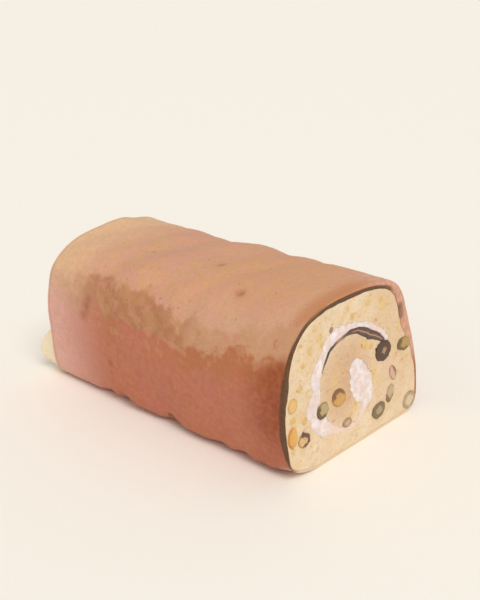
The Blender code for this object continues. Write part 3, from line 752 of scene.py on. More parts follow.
# Small bits of yellow and orange fruit in the crumb at both ends: y, z, half size
CUT_BITS = (
    (-41.1, 28.9, 1.5), (-29.0, 63.9, 1.3), (5.6, 64.7, 1.7), (-5.1, 61.4, 1.1), (15.9, 59.8, 1.6),
    (-31.6, 55.2, 1.4), (-35.7, 50.2, 1.2), (5.0, 45.7, 1.4), (-33.6, 25.9, 1.4), (-24.2, 55.6, 1.2),
    (-8.0, 66.0, 1.0), (19.4, 60.1, 1.0), (-25.6, 59.0, 1.1), (9.5, 43.5, 1.0), (-37.2, 41.5, 1.1),
    (15.0, 63.4, 1.2), (-40.2, 14.5, 1.2), (12.5, 30.6, 1.1), (30.5, 45.0, 1.0), (0.5, 20.4, 1.0),
)
FAR_BITS = (
    (-30.0, 58.0, 1.4), (-8.0, 66.0, 1.2), (18.0, 58.0, 1.5), (30.0, 34.0, 1.3), (-40.0, 32.0, 1.2),
    (14.0, 10.0, 1.3), (-2.0, 46.0, 1.1), (36.0, 18.0, 1.2), (-20.0, 62.0, 1.0),
)
# Larger soft stains of fruit in the crumb at the cut, and one small bit of raisin
CUT_STAINS = ((-14.9, 37.8, 1.9), (15.4, 26.3, 1.6), (-1.3, 18.1, 1.2), (-37.6, 6.9, 1.2))
RAISIN_BITS = ((-18.5, 60.0, 1.25),)


# Stains: reach round a bit in half sizes; strength, start and fade round a fruit
BIT_STAIN = 2.4
FRUIT_STAIN, STAIN_START, STAIN_FADE = 0.7, 0.9, 0.35


def stain(y, z, bits, fruits):
    """How far the crumb is stained by the fruit near it."""
    value = sum(bell(math.hypot(y - bit_y, z - bit_z) / (BIT_STAIN * half))
                for bit_y, bit_z, half in bits)
    for fruit in fruits.values():
        off = max(0.0, fruit_ratio(y, z, fruit) - STAIN_START)
        value += FRUIT_STAIN * bell(off / STAIN_FADE)
    return min(1.0, value)


def share_finder(loop):
    """Function of y and z that tells how near a place is to a loop: 0 in the middle, 1 on the loop."""
    middle = Vector(CAP_MIDDLE)
    polar = sorted((math.atan2(point[1] - middle.y, point[0] - middle.x),
                    math.hypot(point[0] - middle.x, point[1] - middle.y)) for point in loop)
    angles = np.array([angle for angle, _ in polar])
    reaches = np.array([reach for _, reach in polar])

    def share(y, z):
        angle = math.atan2(z - middle.y, y - middle.x)
        reach = np.interp(angle, angles, reaches, period=math.tau)
        return math.hypot(y - middle.x, z - middle.y) / reach

    return share


FAR_EDGE_LOOP = [surface_point(FAR_STARTS[index], FAR_EDGE, index) for index in INDICES]
FAR_SHARE = share_finder([(point.y, point.z) for point in FAR_EDGE_LOOP])


def far_place(y, z, sink):
    """A place of the far end's surface, sunk into the cake by some depth."""
    share = min(1.0, FAR_SHARE(y, z))
    bulge = far_bulge(y, z, share)
    turn = min(1.0, 0.5 * (1.0 - share) / BULGE_ROUND)
    spread = BULGE_SPREAD * math.sin(math.pi * turn) * max(0.0, bulge - FAR_PILLOW) / BULGE_REACH
    return Vector((far_edge_x(z) - bulge + sink, y - spread, z))


CUT_LOOP = [surface_point(CUT_FACE_X, RIM_INNER[index] + FIT, index) for index in INDICES]
FAR_LOOP = [surface_point(FAR_STARTS[index], FAR_RIM_INNER[index] + FIT, index) for index in INDICES]
CUT_SHARE = share_finder([(point.y, point.z) for point in CUT_LOOP])


def cut_crumb(y, z):
    """The crumb's surface at a place of the cut, the painted shade of its pores and how far it is
    stained.
    """
    depth, pore_shade = pores(y, z, 2.7)
    share = CUT_SHARE(y, z)
    edge = rise(share, 0.975, 0.025)
    inner = 1.0 - rise(share, *CUT_CALM)
    rough = waves(y, z, CUT_ROUGH)
    deep, from_y, from_z = CREVICE
    crevice = deep * edge * rise(y, *from_y) * rise(z, *from_z)
    sink = max(depth * inner + rough * 0.8 + 0.1, pocket(y, z, CUT_FRUIT)) + 0.15 * edge + crevice
    stained = stain(y, z, CUT_BITS + CUT_STAINS, CUT_FRUIT)
    return Vector((CUT_FACE_X - max(0.0, sink), y, z)), pore_shade * inner, stained


def far_crumb(y, z):
    """The same at a place of the far end."""
    depth, pore_shade = pores(y, z, 9.4)
    inner = 1.0 - rise(FAR_SHARE(y, z), *FAR_CALM)
    sink = max(depth * inner + waves(y, z, FAR_ROUGH) * inner, pocket(y, z, FAR_FRUIT))
    return far_place(y, z, sink), pore_shade * inner, stain(y, z, FAR_BITS, FAR_FRUIT)


def crumb_tints(place, pore_shade=0.0, stained=0.0):
    """How strongly each tint of the crumb shows at a place: painted shade in the pores, painted light
    at the far end, and the crumb's own tints.
    """
    y, z = place.yz
    (middle_y, half_y), (middle_z, half_z) = ROLLED_IN
    return {
        # Painted shade inside the pores
        "pore_shade": pore_shade,
        "stain": stained,
        "rolled_in": bell(math.hypot((y - middle_y) / half_y, (z - middle_z) / half_z) ** 2),
        # Painted light: lifts the far end's crumb, which lies in shade
        "far_crumb_painted_light": smooth_step(-place.x / 20.0),
        "warm": rise(y, *WARM_ACROSS) * rise(z, *WARM_UP),
    }


def make_crumb():
    """Sponge inside the crust, open from end to end for its filling, with real pores at both ends."""
    hole = [tuple(point) for point in filling_loop()]
    points, faces, values, starts = [], [], {}, []

    def add(place, *looks):
        points.append(place)
        for label, value in crumb_tints(place, *looks).items():
            values.setdefault(label, []).append(value)

    for loop, spacing, seed, surface in ((CUT_LOOP, CUT_SPACING, 5, cut_crumb),
                                         (FAR_LOOP, FAR_SPACING, 6, far_crumb)):
        start = len(points)
        starts.append(start)
        places, end_faces = fill([[(point.y, point.z) for point in loop], hole], spacing, seed)
        for y, z in places:
            add(*surface(y, z))
        faces += [tuple(start + corner for corner in face) for face in end_faces]
    walls = [INDICES]
    for station in range(INNER_STATIONS + 1):
        share = station / INNER_STATIONS
        walls.append(range(len(points), len(points) + ROUND_POINTS))
        for index in INDICES:
            first, last = CUT_FACE_X - WALL_INSET, FAR_STARTS[index] + WALL_INSET
            tuck = RIM_INNER[index] + (FAR_RIM_INNER[index] - RIM_INNER[index]) * share + FIT
            add(surface_point(first + (last - first) * share, tuck, index))
    walls.append(range(starts[1], starts[1] + ROUND_POINTS))
    faces += join_rings(walls)
    insides = [start + ROUND_POINTS for start in starts]
    faces += join_rings([range(first, first + len(hole)) for first in insides])
    return piece("crumb", points, faces, values)


def band_piece(name, rows, columns, sink, tints):
    """Closed band from end to end: rows across it at both ends, and walls between them.

    rows holds (place, function of the share across and the end, giving y and z); sink gives a depth
    at y, z and share, and tints the values kept at y, z, place and share.
    """
    points, values, faces = [], {}, []
    width, count = columns + 1, len(rows)
    for at_cut, fruits in ((True, CUT_FRUIT), (False, FAR_FRUIT)):
        start = len(points)
        for place, across in rows:
            for column in range(width):
                share = column / columns
                y, z = across(share, at_cut)
                depth = max(sink(y, z, share), pocket(y, z, fruits))
                points.append(Vector((CUT_FACE_X - depth, y, z)) if at_cut else far_place(y, z, depth))
                for label, value in tints(y, z, place, share).items():
                    values.setdefault(label, []).append(value)
        for row in range(count - 1):
            for column in range(columns):
                corner = start + row * width + column
                faces.append((corner, corner + 1, corner + width + 1, corner + width))
    border = list(range(width))
    border += [row * width + columns for row in range(1, count)]
    border += [(count - 1) * width + column for column in range(columns - 1, -1, -1)]
    border += [row * width for row in range(count - 2, 0, -1)]
    back = width * count
    faces += [(here, after, back + after, back + here)
              for here, after in zip(border, border[1:] + border[:1])]
    return piece(name, points, faces, values)


CREAM_COLUMNS = 22
DARK_COLUMNS = 16
# How far the cream smears over the crumb at the cut, with height and size of its waves
SMEAR = 0.34
SMEAR_WAVES = (0.3, 1.7)
BESIDE_DARK = 0.12
CREAM_STANDS = 0.12
CREAM_LUMPY = 1.3
CREAM_EDGE = 0.45
# Dark layer: its gap from the cream, its waves as height, size and shift, and its sunken sides
DARK_GAP = 0.16
DARK_WAVES = ((0.12, 1.5, 12.0),)
DARK_EDGE = 0.15
# Pale line of the fold and the washed stretches: spreads, starts and ends along the path
FOLD_SPREAD, FOLD_START, FOLD_END = 0.075, (0.8, 0.6), (6.2, 0.8)
WASHED_MIDDLE, WASHED_SPREAD, WASHED_START = 7.6, 0.7, (11.2, 1.2)


def cream_across(place, middle, side, left, right):
    """Function that gives the places across one row of the cream."""
    beside_dark = dark_thickness(place) > 0.0

    def across(share, at_cut):
        height, size = SMEAR_WAVES
        smear = SMEAR + height * waver(*middle, size, 8.0 + share) if at_cut else 0.0
        toward = 2.0 * share - 1.0
        if toward > 0.0:
            return middle + side * toward * (left + (BESIDE_DARK if beside_dark else smear))
        return middle + side * toward * (right + smear)

    return across


def make_cream():
    """Cream, smeared a little over the crumb at the cut, from end to end."""
    rows = [(row[0], cream_across(*row)) for row in CREAM_ROWS]

    def sink(y, z, share):
        lumps = CREAM_LUMPY * waves(y, z, CREAM_LUMPS)
        return -CREAM_STANDS - lumps + CREAM_EDGE * abs(2.0 * share - 1.0) ** 6

    def tints(y, z, place, share):
        return {"lump": 0.5 + waver(y, z, 4.0, 3.0),
                "thin": rise(place, THIN_FROM, THIN_FADE) * fall(place, THIN_TO, THIN_FADE)}

    return band_piece("cream_filling", rows, CREAM_COLUMNS, sink, tints)


def dark_across(place, start, end):
    """Function that gives the places across one row of the dark layer."""
    y, z, cream = path_at(CREAM_PATH, place)
    middle, side = Vector((y, z)), path_side(CREAM_PATH, place)
    outer = 0.5 * cream + ragged(middle, 1.0, place) + DARK_GAP
    reach = dark_thickness(place) + GAP - DARK_GAP
    reach *= smooth_step((place - start) / 0.2 + 0.3) * smooth_step((end - place) / 0.8 + 0.25)
    return lambda share, at_cut: middle + side * (outer + reach * share)


def make_dark_layer():
    """Dark layer along the cream's inside, with a pale line where it is folded double."""
    start, end = DARK_LAYER[0][0], DARK_LAYER[-1][0]
    count = round((end - start) / PATH_STEP)
    places = [start + (end - start) * number / count for number in range(count + 1)]
    rows = [(place, dark_across(place, start, end)) for place in places]

    def sink(y, z, share):
        return waves(y, z, DARK_WAVES) + DARK_EDGE * abs(2.0 * share - 1.0) ** 6

    def tints(y, z, place, share):
        fold = bell((share - 0.5) / FOLD_SPREAD)
        washed = bell((place - WASHED_MIDDLE) / WASHED_SPREAD)
        return {"pale": fold * rise(place, *FOLD_START) * fall(place, *FOLD_END),
                "washed": washed + rise(place, *WASHED_START)}

    return band_piece("dark_filling", rows, DARK_COLUMNS, sink, tints)


def srgb(red, green, blue):
    """Colour for a node from plain 0 to 255 values."""
    linear = []
    for channel in (red, green, blue):
        value = channel / 255.0
        linear.append(value / 12.92 if value <= 0.04045 else ((value + 0.055) / 1.055) ** 2.4)
    return (*linear, 1.0)


# Looks of each cut fruit: skin, flesh, width of the skin's ring in shares of the radius, and the
# angles between which the ring is dark, in degrees from +Y
FRUIT_LOOKS = {
    "raisin_1": ((84, 54, 38), (190, 150, 104), 0.74, None),
    "raisin_2": ((128, 106, 78), (182, 160, 120), 0.5, None),
    "raisin_3": ((176, 138, 108), (212, 178, 144), 0.45, None),
    "raisin_4": ((118, 90, 56), (186, 156, 84), 0.45, (120, 330)),
    "raisin_5": ((182, 160, 128), (226, 206, 170), 0.4, None),
    "raisin_6": ((136, 112, 84), (206, 180, 142), 0.45, (190, 350)),
    "raisin_7": ((142, 100, 88), (220, 182, 156), 0.5, (-60, 60)),
    "raisin_8": ((104, 72, 54), (232, 192, 132), 0.5, (-80, 150)),
    "raisin_9": ((108, 84, 54), (190, 170, 122), 0.5, (120, 300)),
    "sultana_1": ((208, 146, 66), (230, 178, 92), 0.3, (90, 270)),
    "sultana_2": ((134, 92, 58), (216, 166, 90), 0.5, (60, 220)),
    "sultana_3": ((224, 180, 108), (233, 195, 126), 0.3, None),
    "raisin_10": ((96, 68, 54), (172, 138, 102), 0.5, None),
    "raisin_11": ((118, 90, 66), (178, 148, 112), 0.42, (100, 330)),
    "raisin_12": ((108, 80, 62), (170, 136, 100), 0.45, None),
    "raisin_13": ((126, 98, 70), (188, 158, 118), 0.4, None),
    "sultana_4": ((190, 136, 66), (222, 172, 90), 0.34, None),
}
FRUIT_SEGMENTS = 56
FRUIT_RINGS = 40
# Wrinkles of the fruit and its bits: height, fineness, and the axes along which a seed shifts them
FRUIT_WRINKLES = ((0.13, 2.3, (1, 0, 0)), (0.065, 5.1, (0, 1, 0)), (0.09, 3.6, (1, 0, 1)))
FRUIT_CREASES = (0.035, 9.0, (1, 1, 0))
BIT_WRINKLES = ((0.3, 1.7, (1, 0, 0)), (0.12, 4.5, (0, 1, 0)))
RING_WAVES = (0.35, 3.0, (0, 0, 1))
# Cut face of a fruit: how far it stands out, its dome, and height and size of the dome's waves
FACE_STANDS = 0.06
DOME = 0.22
DOME_WAVES = (0.07, 0.9)
# Where the ring is light: degrees over which it turns, how much narrower, and how close to flesh
LIGHT_TURN, LIGHT_NARROWER, LIGHT_TONE = 40.0, 0.6, 0.7
FLESH_EDGE = 0.22
# Bits in shares of their half size: whole, depth, least and most breadths, and how far they stand
BIT_SCALE = 1.3
BIT_DEPTH = 0.55
BIT_BREADTHS = ((0.75, 1.1), (0.75, 1.15))
BIT_SUNK = 0.3
BIT_STANDS = 0.33


def fruit_middle(name, fruit):
    """Middle of a fruit, just behind the end that cuts it."""
    y, z, _, _, _, depth = fruit
    if name in CUT_FRUIT:
        return Vector((CUT_FACE_X - depth, y, z))
    share = min(1.0, (Vector((y, z)) - Vector(CAP_MIDDLE)).length / CAP_RADIUS)
    return Vector((far_edge_x(z) - far_bulge(y, z, share) + depth, y, z))


def wrinkle(direction, seed, height, fineness, axes):
    """Swelling of a lump in a direction from its middle."""
    return height * noise.noise(direction * fineness + seed * Vector(axes))


def make_fruit(name, fruit, seed):
    """A wrinkled raisin or sultana, cut through by the end it shows at: a skin round its flesh."""
    _, _, half_width, half_height, tilt, _ = fruit
    halves = (0.5 * (half_width + half_height), half_width, half_height)
    skin, flesh, ring_width, dark_arc = FRUIT_LOOKS[name]
    outward = 1.0 if name in CUT_FRUIT else -1.0
    middle = fruit_middle(name, fruit)
    turned = Matrix.Rotation(0.5 * math.pi, 4, "Y")
    tilted = Matrix.Rotation(math.radians(tilt), 3, "X")
    shape = bmesh.new()
    bmesh.ops.create_uvsphere(shape, u_segments=FRUIT_SEGMENTS, v_segments=FRUIT_RINGS, radius=1.0,
                              matrix=turned)
    points, fleshy, skins = [], [], []
    for vert in shape.verts:
        direction = vert.co.normalized()
        swell = 1.0 + sum(wrinkle(direction, seed, *row) for row in FRUIT_WRINKLES)
        swell -= abs(wrinkle(direction, seed, *FRUIT_CREASES))
        local = Vector(part * axis for part, axis in zip(direction, halves)) * swell
        place = middle + tilted @ local
        facing = direction.x * outward > 0.0
        across = Vector((direction.y, direction.z)).length
        face = CUT_FACE_X if outward > 0.0 else far_place(place.y, place.z, 0.0).x
        face += FACE_STANDS * outward
        if facing and (place.x - face) * outward > 0.0:
            uneven, size = DOME_WAVES
            dome = DOME * (1.0 - across ** 2)
            dome += uneven * noise.noise(Vector((place.y, place.z, seed)) / size)
            place.x = face + dome * outward
        width = ring_width * (1.0 + wrinkle(direction, seed, *RING_WAVES))
        light = 0.0
        if dark_arc and facing:
            angle = math.degrees(math.atan2(direction.z, direction.y))
            off = abs((angle - 0.5 * sum(dark_arc) + 180.0) % 360.0 - 180.0)
            light = smooth_step((off - 0.5 * (dark_arc[1] - dark_arc[0])) / LIGHT_TURN + 0.5)
            width *= 1.0 - LIGHT_NARROWER * light
        tone = LIGHT_TONE * light
        skins.append(srgb(*(dark + tone * (pale - dark) for dark, pale in zip(skin, flesh))))
        fleshy.append(smooth_step((1.0 - width - across) / FLESH_EDGE + 0.5) if facing else 0.0)
        points.append(place)
    faces = [tuple(vert.index for vert in face.verts) for face in shape.faces]
    shape.free()
    colours = {"skin": skins, "flesh_colour": [srgb(*flesh)] * len(points)}
    return piece(name + "_cut", points, faces, {"flesh": fleshy}, colours)


def make_bits(name, bits, at_cut, seed):
    """Small bits of dried fruit in the crumb of one end, each a closed lump sunk most of its depth."""
    draw = random.Random(seed)
    points, faces = [], []
    for y, z, size in bits:
        half = BIT_SCALE * size
        shape = bmesh.new()
        bmesh.ops.create_icosphere(shape, subdivisions=3, radius=1.0)
        stretch = (BIT_DEPTH * half, *(half * draw.uniform(*ends) for ends in BIT_BREADTHS))
        tilt = Matrix.Rotation(draw.uniform(0.0, math.pi), 3, "X")
        offset = draw.uniform(0.0, 50.0)
        sunk, stands = BIT_SUNK * half, BIT_STANDS * half
        place = Vector((CUT_FACE_X - sunk, y, z)) if at_cut else far_place(y, z, sunk)
        start = len(points)
        for vert in shape.verts:
            direction = vert.co.normalized()
            swell = 1.0 + sum(wrinkle(direction, offset, *row) for row in BIT_WRINKLES)
            local = tilt @ (Vector(part * axis for part, axis in zip(direction, stretch)) * swell)
            local.x = min(local.x, stands) if at_cut else max(local.x, -stands)
            points.append(place + local)
        faces += [tuple(start + vert.index for vert in face.verts) for face in shape.faces]
        shape.free()
    return piece(name, points, faces)


def add_node(tree, kind, inputs=None, **settings):
    """Node with its settings; an input takes a value or another node's output."""
    made = tree.nodes.new(kind)
    for label, value in settings.items():
        setattr(made, label, value)
    for label, value in (inputs or {}).items():
        if isinstance(value, bpy.types.NodeSocket):
            tree.links.new(value, made.inputs[label])
        else:
            made.inputs[label].default_value = value
    return made


# Places of a colour mix node's sockets
MIX_FACTOR, MIX_FIRST, MIX_SECOND, MIX_RESULT = 0, 6, 7, 2


def blend(tree, factor, first, second):
    """Colour between two, each given as a node's output or as plain 0 to 255 values."""
    first, second = (tone if isinstance(tone, bpy.types.NodeSocket) else srgb(*tone)
                     for tone in (first, second))
    made = add_node(tree, "ShaderNodeMix", {MIX_FACTOR: factor, MIX_FIRST: first, MIX_SECOND: second},
                    data_type="RGBA")
    return made.outputs[MIX_RESULT]


def maths(tree, operation, first, second=0.0):
    """Result of a sum on two values."""
    return add_node(tree, "ShaderNodeMath", {0: first, 1: second}, operation=operation).outputs[0]


def times(tree, value, amount):
    """A value multiplied."""
    return maths(tree, "MULTIPLY", value, amount)


def swing(tree, value, reach):
    """A pattern's value turned into a swing to both sides of zero."""
    return times(tree, maths(tree, "SUBTRACT", value, 0.5), reach)


def layers(tree, colour, *rows):
    """Thin layers of other colours over a colour: where each lies, how strong it is, and its tone."""
    for where, strength, tone in rows:
        colour = blend(tree, times(tree, where, strength), colour, tone)
    return colour


def span(tree, value, low, high, to_low=0.0, to_high=1.0):
    """Value mapped softly from one range to another."""
    ends = {"From Min": low, "From Max": high, "To Min": to_low, "To Max": to_high}
    made = add_node(tree, "ShaderNodeMapRange", {"Value": value, **ends},
                    interpolation_type="SMOOTHSTEP")
    return made.outputs["Result"]


def attribute(tree, label, output="Fac"):
    """A value or colour kept at the mesh's points."""
    return add_node(tree, "ShaderNodeAttribute", attribute_name=label).outputs[output]


def new_group(name, numbers, results):
    """Shader node group of a place in metres and named numbers, with the scale for its size."""
    tree = bpy.data.node_groups.new(name, "ShaderNodeTree")
    tree.interface.new_socket("Position", in_out="INPUT", socket_type="NodeSocketVector")
    for label, value in numbers.items():
        socket = tree.interface.new_socket(label, in_out="INPUT", socket_type="NodeSocketFloat")
        socket.default_value = value
    for label in results:
        tree.interface.new_socket(label, in_out="OUTPUT", socket_type="NodeSocketFloat")
    given = tree.nodes.new("NodeGroupInput").outputs
    result = tree.nodes.new("NodeGroupOutput").inputs
    return tree, given, result, maths(tree, "DIVIDE", 1.0 / MM, given["Size"])


def mottling_group():
    """Soft-edged patches of one colour in another; the size is in millimetres."""
    tree, given, result, scale = new_group(
        "Mottling", {"Size": 8.0, "Edge": 0.1, "Share": 0.5, "Shift": 0.0}, ("Mask", "Value"))
    made = add_node(tree, "ShaderNodeTexNoise",
                    {"Vector": given["Position"], "Scale": scale, "W": given["Shift"],
                     "Detail": 3.0, "Roughness": 0.55}, noise_dimensions="4D")
    middle = maths(tree, "SUBTRACT", 1.0, given["Share"])
    middle = maths(tree, "ADD", times(tree, middle, 0.5), 0.25)
    low = maths(tree, "SUBTRACT", middle, given["Edge"])
    high = maths(tree, "ADD", middle, given["Edge"])
    tree.links.new(span(tree, made.outputs["Fac"], low, high), result["Mask"])
    tree.links.new(made.outputs["Fac"], result["Value"])
    return tree


def grain_group():
    """Fine baked grain: an even speckle for the colour and a height for the bump."""
    tree, given, result, scale = new_group(
        "Baked Grain", {"Size": 1.0, "Coarse": 0.5}, ("Height", "Speckle"))
    fine = add_node(tree, "ShaderNodeTexNoise",
                    {"Vector": given["Position"], "Scale": scale, "Detail": 4.0, "Roughness": 0.7})
    broad_scale = maths(tree, "DIVIDE", scale, 4.5)
    broad = add_node(tree, "ShaderNodeTexNoise",
                     {"Vector": given["Position"], "Scale": broad_scale, "Detail": 2.0})
    coarse = times(tree, broad.outputs["Fac"], given["Coarse"])
    height = maths(tree, "ADD", fine.outputs["Fac"], coarse)
    tree.links.new(height, result["Height"])
    tree.links.new(span(tree, fine.outputs["Fac"], 0.3, 0.7), result["Speckle"])
    return tree


def pore_group():
    """Small round holes: a mask that is 1 inside a hole, and its height."""
    tree, given, result, scale = new_group(
        "Fine Pores", {"Size": 2.0, "Open": 0.3}, ("Mask", "Height"))
    warp = add_node(tree, "ShaderNodeTexNoise",
                    {"Vector": given["Position"], "Scale": times(tree, scale, 1.4), "Detail": 1.0})
    bend = add_node(tree, "ShaderNodeVectorMath", {0: warp.outputs["Color"]}, operation="SCALE")
    tree.links.new(maths(tree, "DIVIDE", 0.5, scale), bend.inputs["Scale"])
    moved = add_node(tree, "ShaderNodeVectorMath", {0: given["Position"], 1: bend.outputs[0]},
                     operation="ADD")
    cells = add_node(tree, "ShaderNodeTexVoronoi", {"Vector": moved.outputs[0], "Scale": scale})
    radius = times(tree, cells.outputs["Color"], given["Open"])
    mask = span(tree, cells.outputs["Distance"], radius, times(tree, radius, 0.4))
    tree.links.new(mask, result["Mask"])
    tree.links.new(maths(tree, "SUBTRACT", 1.0, mask), result["Height"])
    return tree


MOTTLING = mottling_group()
GRAIN = grain_group()
PORES = pore_group()


def use(tree, group, position, **values):
    """A node group placed in a material with its own values."""
    made = add_node(tree, "ShaderNodeGroup", node_tree=group)
    tree.links.new(position, made.inputs["Position"])
    for label, value in values.items():
        made.inputs[label].default_value = value
    return made.outputs


SCATTER_RADIUS = (1.0, 0.55, 0.3)
SCATTER_SCALE = 0.0016


def new_material(name, roughness, subsurface=0.0, coat=0.0):
    """Material with its tree, its shader, and the place on the object in metres."""
    material = bpy.data.materials.new(name)
    material.use_nodes = True
    tree = material.node_tree
    shader = tree.nodes["Principled BSDF"]
    for label, value in (("Roughness", roughness), ("Subsurface Weight", subsurface),
                         ("Subsurface Radius", SCATTER_RADIUS), ("Subsurface Scale", SCATTER_SCALE),
                         ("Coat Weight", coat), ("Coat Roughness", 0.3)):
        shader.inputs[label].default_value = value
    position = add_node(tree, "ShaderNodeTexCoord").outputs["Object"]
    return material, tree, shader, position


def finish(tree, shader, colour, height=None, strength=0.0, distance=0.0):
    """Put a colour on the shader, and the fine relief of the finish where it has one."""
    tree.links.new(colour, shader.inputs["Base Color"])
    if height is not None:
        made = add_node(tree, "ShaderNodeBump",
                        {"Height": height, "Strength": strength, "Distance": distance * MM})
        tree.links.new(made.outputs["Normal"], shader.inputs["Normal"])


def crust_material():
    """Browned skin: tan and pinkish on top, ochre and red-brown below with the darker side partly
    painted shade, deep brown by the cut, and paler towards the far end as painted light.
    """
    material, tree, shader, position = new_material("browned_crust", 0.62, 0.05)
    broad = use(tree, MOTTLING, position, Size=26.0, Edge=0.1, Shift=1.0)["Mask"]
    patches = use(tree, MOTTLING, position, Size=6.5, Edge=0.1, Shift=2.0)["Mask"]
    small = use(tree, MOTTLING, position, Size=2.6, Edge=0.12, Shift=3.0)["Mask"]
    edges = use(tree, MOTTLING, position, Size=8.5, Edge=0.5, Shift=4.0)["Value"]
    nicks = use(tree, MOTTLING, position, Size=2.4, Edge=0.5, Shift=11.0)["Value"]
    islands = use(tree, MOTTLING, position, Size=5.2, Edge=0.05, Share=0.36, Shift=13.0)["Mask"]
    grain = use(tree, GRAIN, position, Size=0.85, Coarse=0.8)
    pores = use(tree, PORES, position, Size=3.4, Open=0.2)["Mask"]
    below, near, far_crust_painted_light = (attribute(tree, label) for label in ("below_border", "near", "far_crust_painted_light"))

    # Tan top
    top = blend(tree, patches, (218, 164, 139), (217, 168, 124))
    shoulder = blend(tree, span(tree, below, -24.0, -10.0), (216, 160, 110), (218, 174, 144))
    # Towards the far end the top is painted paler, painted light on its shaded shoulder
    top = layers(tree, top, (broad, 0.4, (212, 152, 128)), (near, 0.5, shoulder),
                 (islands, 0.35, (226, 156, 132)), (far_crust_painted_light, 0.75, (230, 186, 142)),
                 (attribute(tree, "toasted"), 0.85, (200, 132, 84)))

    # Ochre band under it, above a wandering border
    wander = maths(tree, "ADD", swing(tree, edges, 30.0), swing(tree, nicks, 4.5))
    field = maths(tree, "ADD", below, wander)
    ochre = blend(tree, patches, (180, 120, 80), (194, 140, 94))
    ochre = blend(tree, span(tree, near, 0.78, 1.0, 0.0, 0.7), ochre, (214, 166, 128))
    ochre = layers(tree, ochre, (islands, 0.6, (210, 142, 120)))
    not_near, not_far = (maths(tree, "SUBTRACT", 1.0, where) for where in (near, far_crust_painted_light))
    ochre_field = maths(tree, "ADD", field, times(tree, times(tree, not_near, not_far), 5.0))
    colour = blend(tree, span(tree, ochre_field, -12.0, -5.5), top, ochre)

    # Red-brown side, with orange close to the border by the cut; its darkness is partly the crust's
    # own browning and partly painted shade
    red = blend(tree, broad, (196, 113, 90), (194, 112, 78))
    red = layers(tree, red, (small, 0.3, (200, 126, 94)))
    orange = blend(tree, small, (192, 118, 66), (182, 104, 58))
    red = layers(tree, red, (span(tree, field, 8.0, 15.0, 0.85, 0.0), near, orange),
                 (islands, span(tree, field, 5.0, 9.0, 0.6, 0.12), (206, 144, 100)))
    colour = blend(tree, span(tree, field, -2.2, 2.2), colour, red)

    # Pale pinkish side towards the far end, painted light
    pale = blend(tree, patches, (238, 187, 176), (234, 182, 166))
    pale = blend(tree, span(tree, field, -16.0, 4.0), (236, 198, 158), pale)
    colour = layers(tree, colour, (far_crust_painted_light, span(tree, field, -14.0, 4.0, 0.75, 1.0), pale))

    # Speckles, the browned and curled edge, painted shade in the dents, the seam and the pores, the
    # bare base and the dark rim
    brown = blend(tree, small, (150, 70, 30), (166, 86, 42))
    colour = layers(tree, colour, (small, 0.18, (200, 146, 116)),
                    (grain["Speckle"], 0.18, (150, 98, 70)),
                    (attribute(tree, "cut_brown"), 0.95, brown))
    curled = blend(tree, small, (220, 168, 142), (208, 150, 124))
    colour = blend(tree, attribute(tree, "curl"), colour, curled)
    # Painted shade in the dents, the seam and the pores
    colour = layers(tree, colour, (attribute(tree, "dent"), 0.65, (168, 96, 66)),
                    (pores, 0.45, (146, 92, 62)))
    colour = blend(tree, attribute(tree, "bare"), colour, (232, 206, 172))
    edge = blend(tree, grain["Speckle"], (112, 73, 38), (86, 55, 30))
    colour = blend(tree, span(tree, attribute(tree, "rim"), 0.15, 0.9), colour, edge)
    height = maths(tree, "SUBTRACT", grain["Height"], times(tree, pores, 0.8))
    finish(tree, shader, colour, height, 0.55, 0.35)
    return material


def crumb_material():
    """Pale sponge with fine pores, darker and warmer inside the pores as painted shade, warmer where
    fruit has stained it, and lightened at the far end as painted light.
    """
    material, tree, shader, position = new_material("sponge_crumb", 0.8, 0.25)
    patches = use(tree, MOTTLING, position, Size=11.0, Edge=0.14, Shift=5.0)["Mask"]
    small = use(tree, MOTTLING, position, Size=2.6, Edge=0.16, Shift=6.0)["Mask"]
    tints = use(tree, MOTTLING, position, Size=5.5, Edge=0.07, Share=0.36, Shift=14.0)["Mask"]
    grain = use(tree, GRAIN, position, Size=0.7, Coarse=0.6)
    pores = use(tree, PORES, position, Size=1.9, Open=0.6)["Mask"]
    # Painted shade inside the pores, from the kept value and the fine pores
    pore_shade = maths(tree, "MAXIMUM", attribute(tree, "pore_shade"), times(tree, pores, 0.4))
    colour = blend(tree, patches, (239, 220, 191), (232, 206, 174))
    colour = layers(tree, colour, (small, 0.35, (233, 205, 168)),
                    (attribute(tree, "warm"), 0.55, (222, 186, 150)),
                    (attribute(tree, "rolled_in"), 0.95, (212, 171, 135)),
                    (tints, 0.4, (228, 188, 132)),
                    # Painted light on the far end's crumb
                    (attribute(tree, "far_crumb_painted_light"), 0.95, (255, 238, 208)),
                    (attribute(tree, "stain"), 0.6, (232, 196, 138)),
                    (pore_shade, 0.4, (218, 180, 136)),
                    (grain["Speckle"], 0.18, (248, 232, 206)))
    finish(tree, shader, colour, maths(tree, "SUBTRACT", grain["Height"], pores), 0.5, 0.35)
    return material


def cream_material():
    """Whipped cream, faintly pink where it thins out over the crumb."""
    material, tree, shader, position = new_material("whipped_cream", 0.42, 0.3, 0.08)
    small = use(tree, MOTTLING, position, Size=3.0, Edge=0.2, Shift=7.0)["Mask"]
    bare = use(tree, MOTTLING, position, Size=3.0, Edge=0.06, Share=0.42, Shift=12.0)["Mask"]
    grain = use(tree, GRAIN, position, Size=1.1, Coarse=1.0)
    colour = blend(tree, small, (250, 244, 246), (229, 209, 208))
    lumps = span(tree, attribute(tree, "lump"), 0.35, 0.8, 0.0, 0.4)
    colour = blend(tree, lumps, colour, (236, 214, 213))
    colour = layers(tree, colour, (bare, 0.55, (234, 206, 188)),
                    (attribute(tree, "thin"), 0.75, (240, 212, 190)))
    finish(tree, shader, colour, grain["Height"], 0.35, 0.4)
    return material


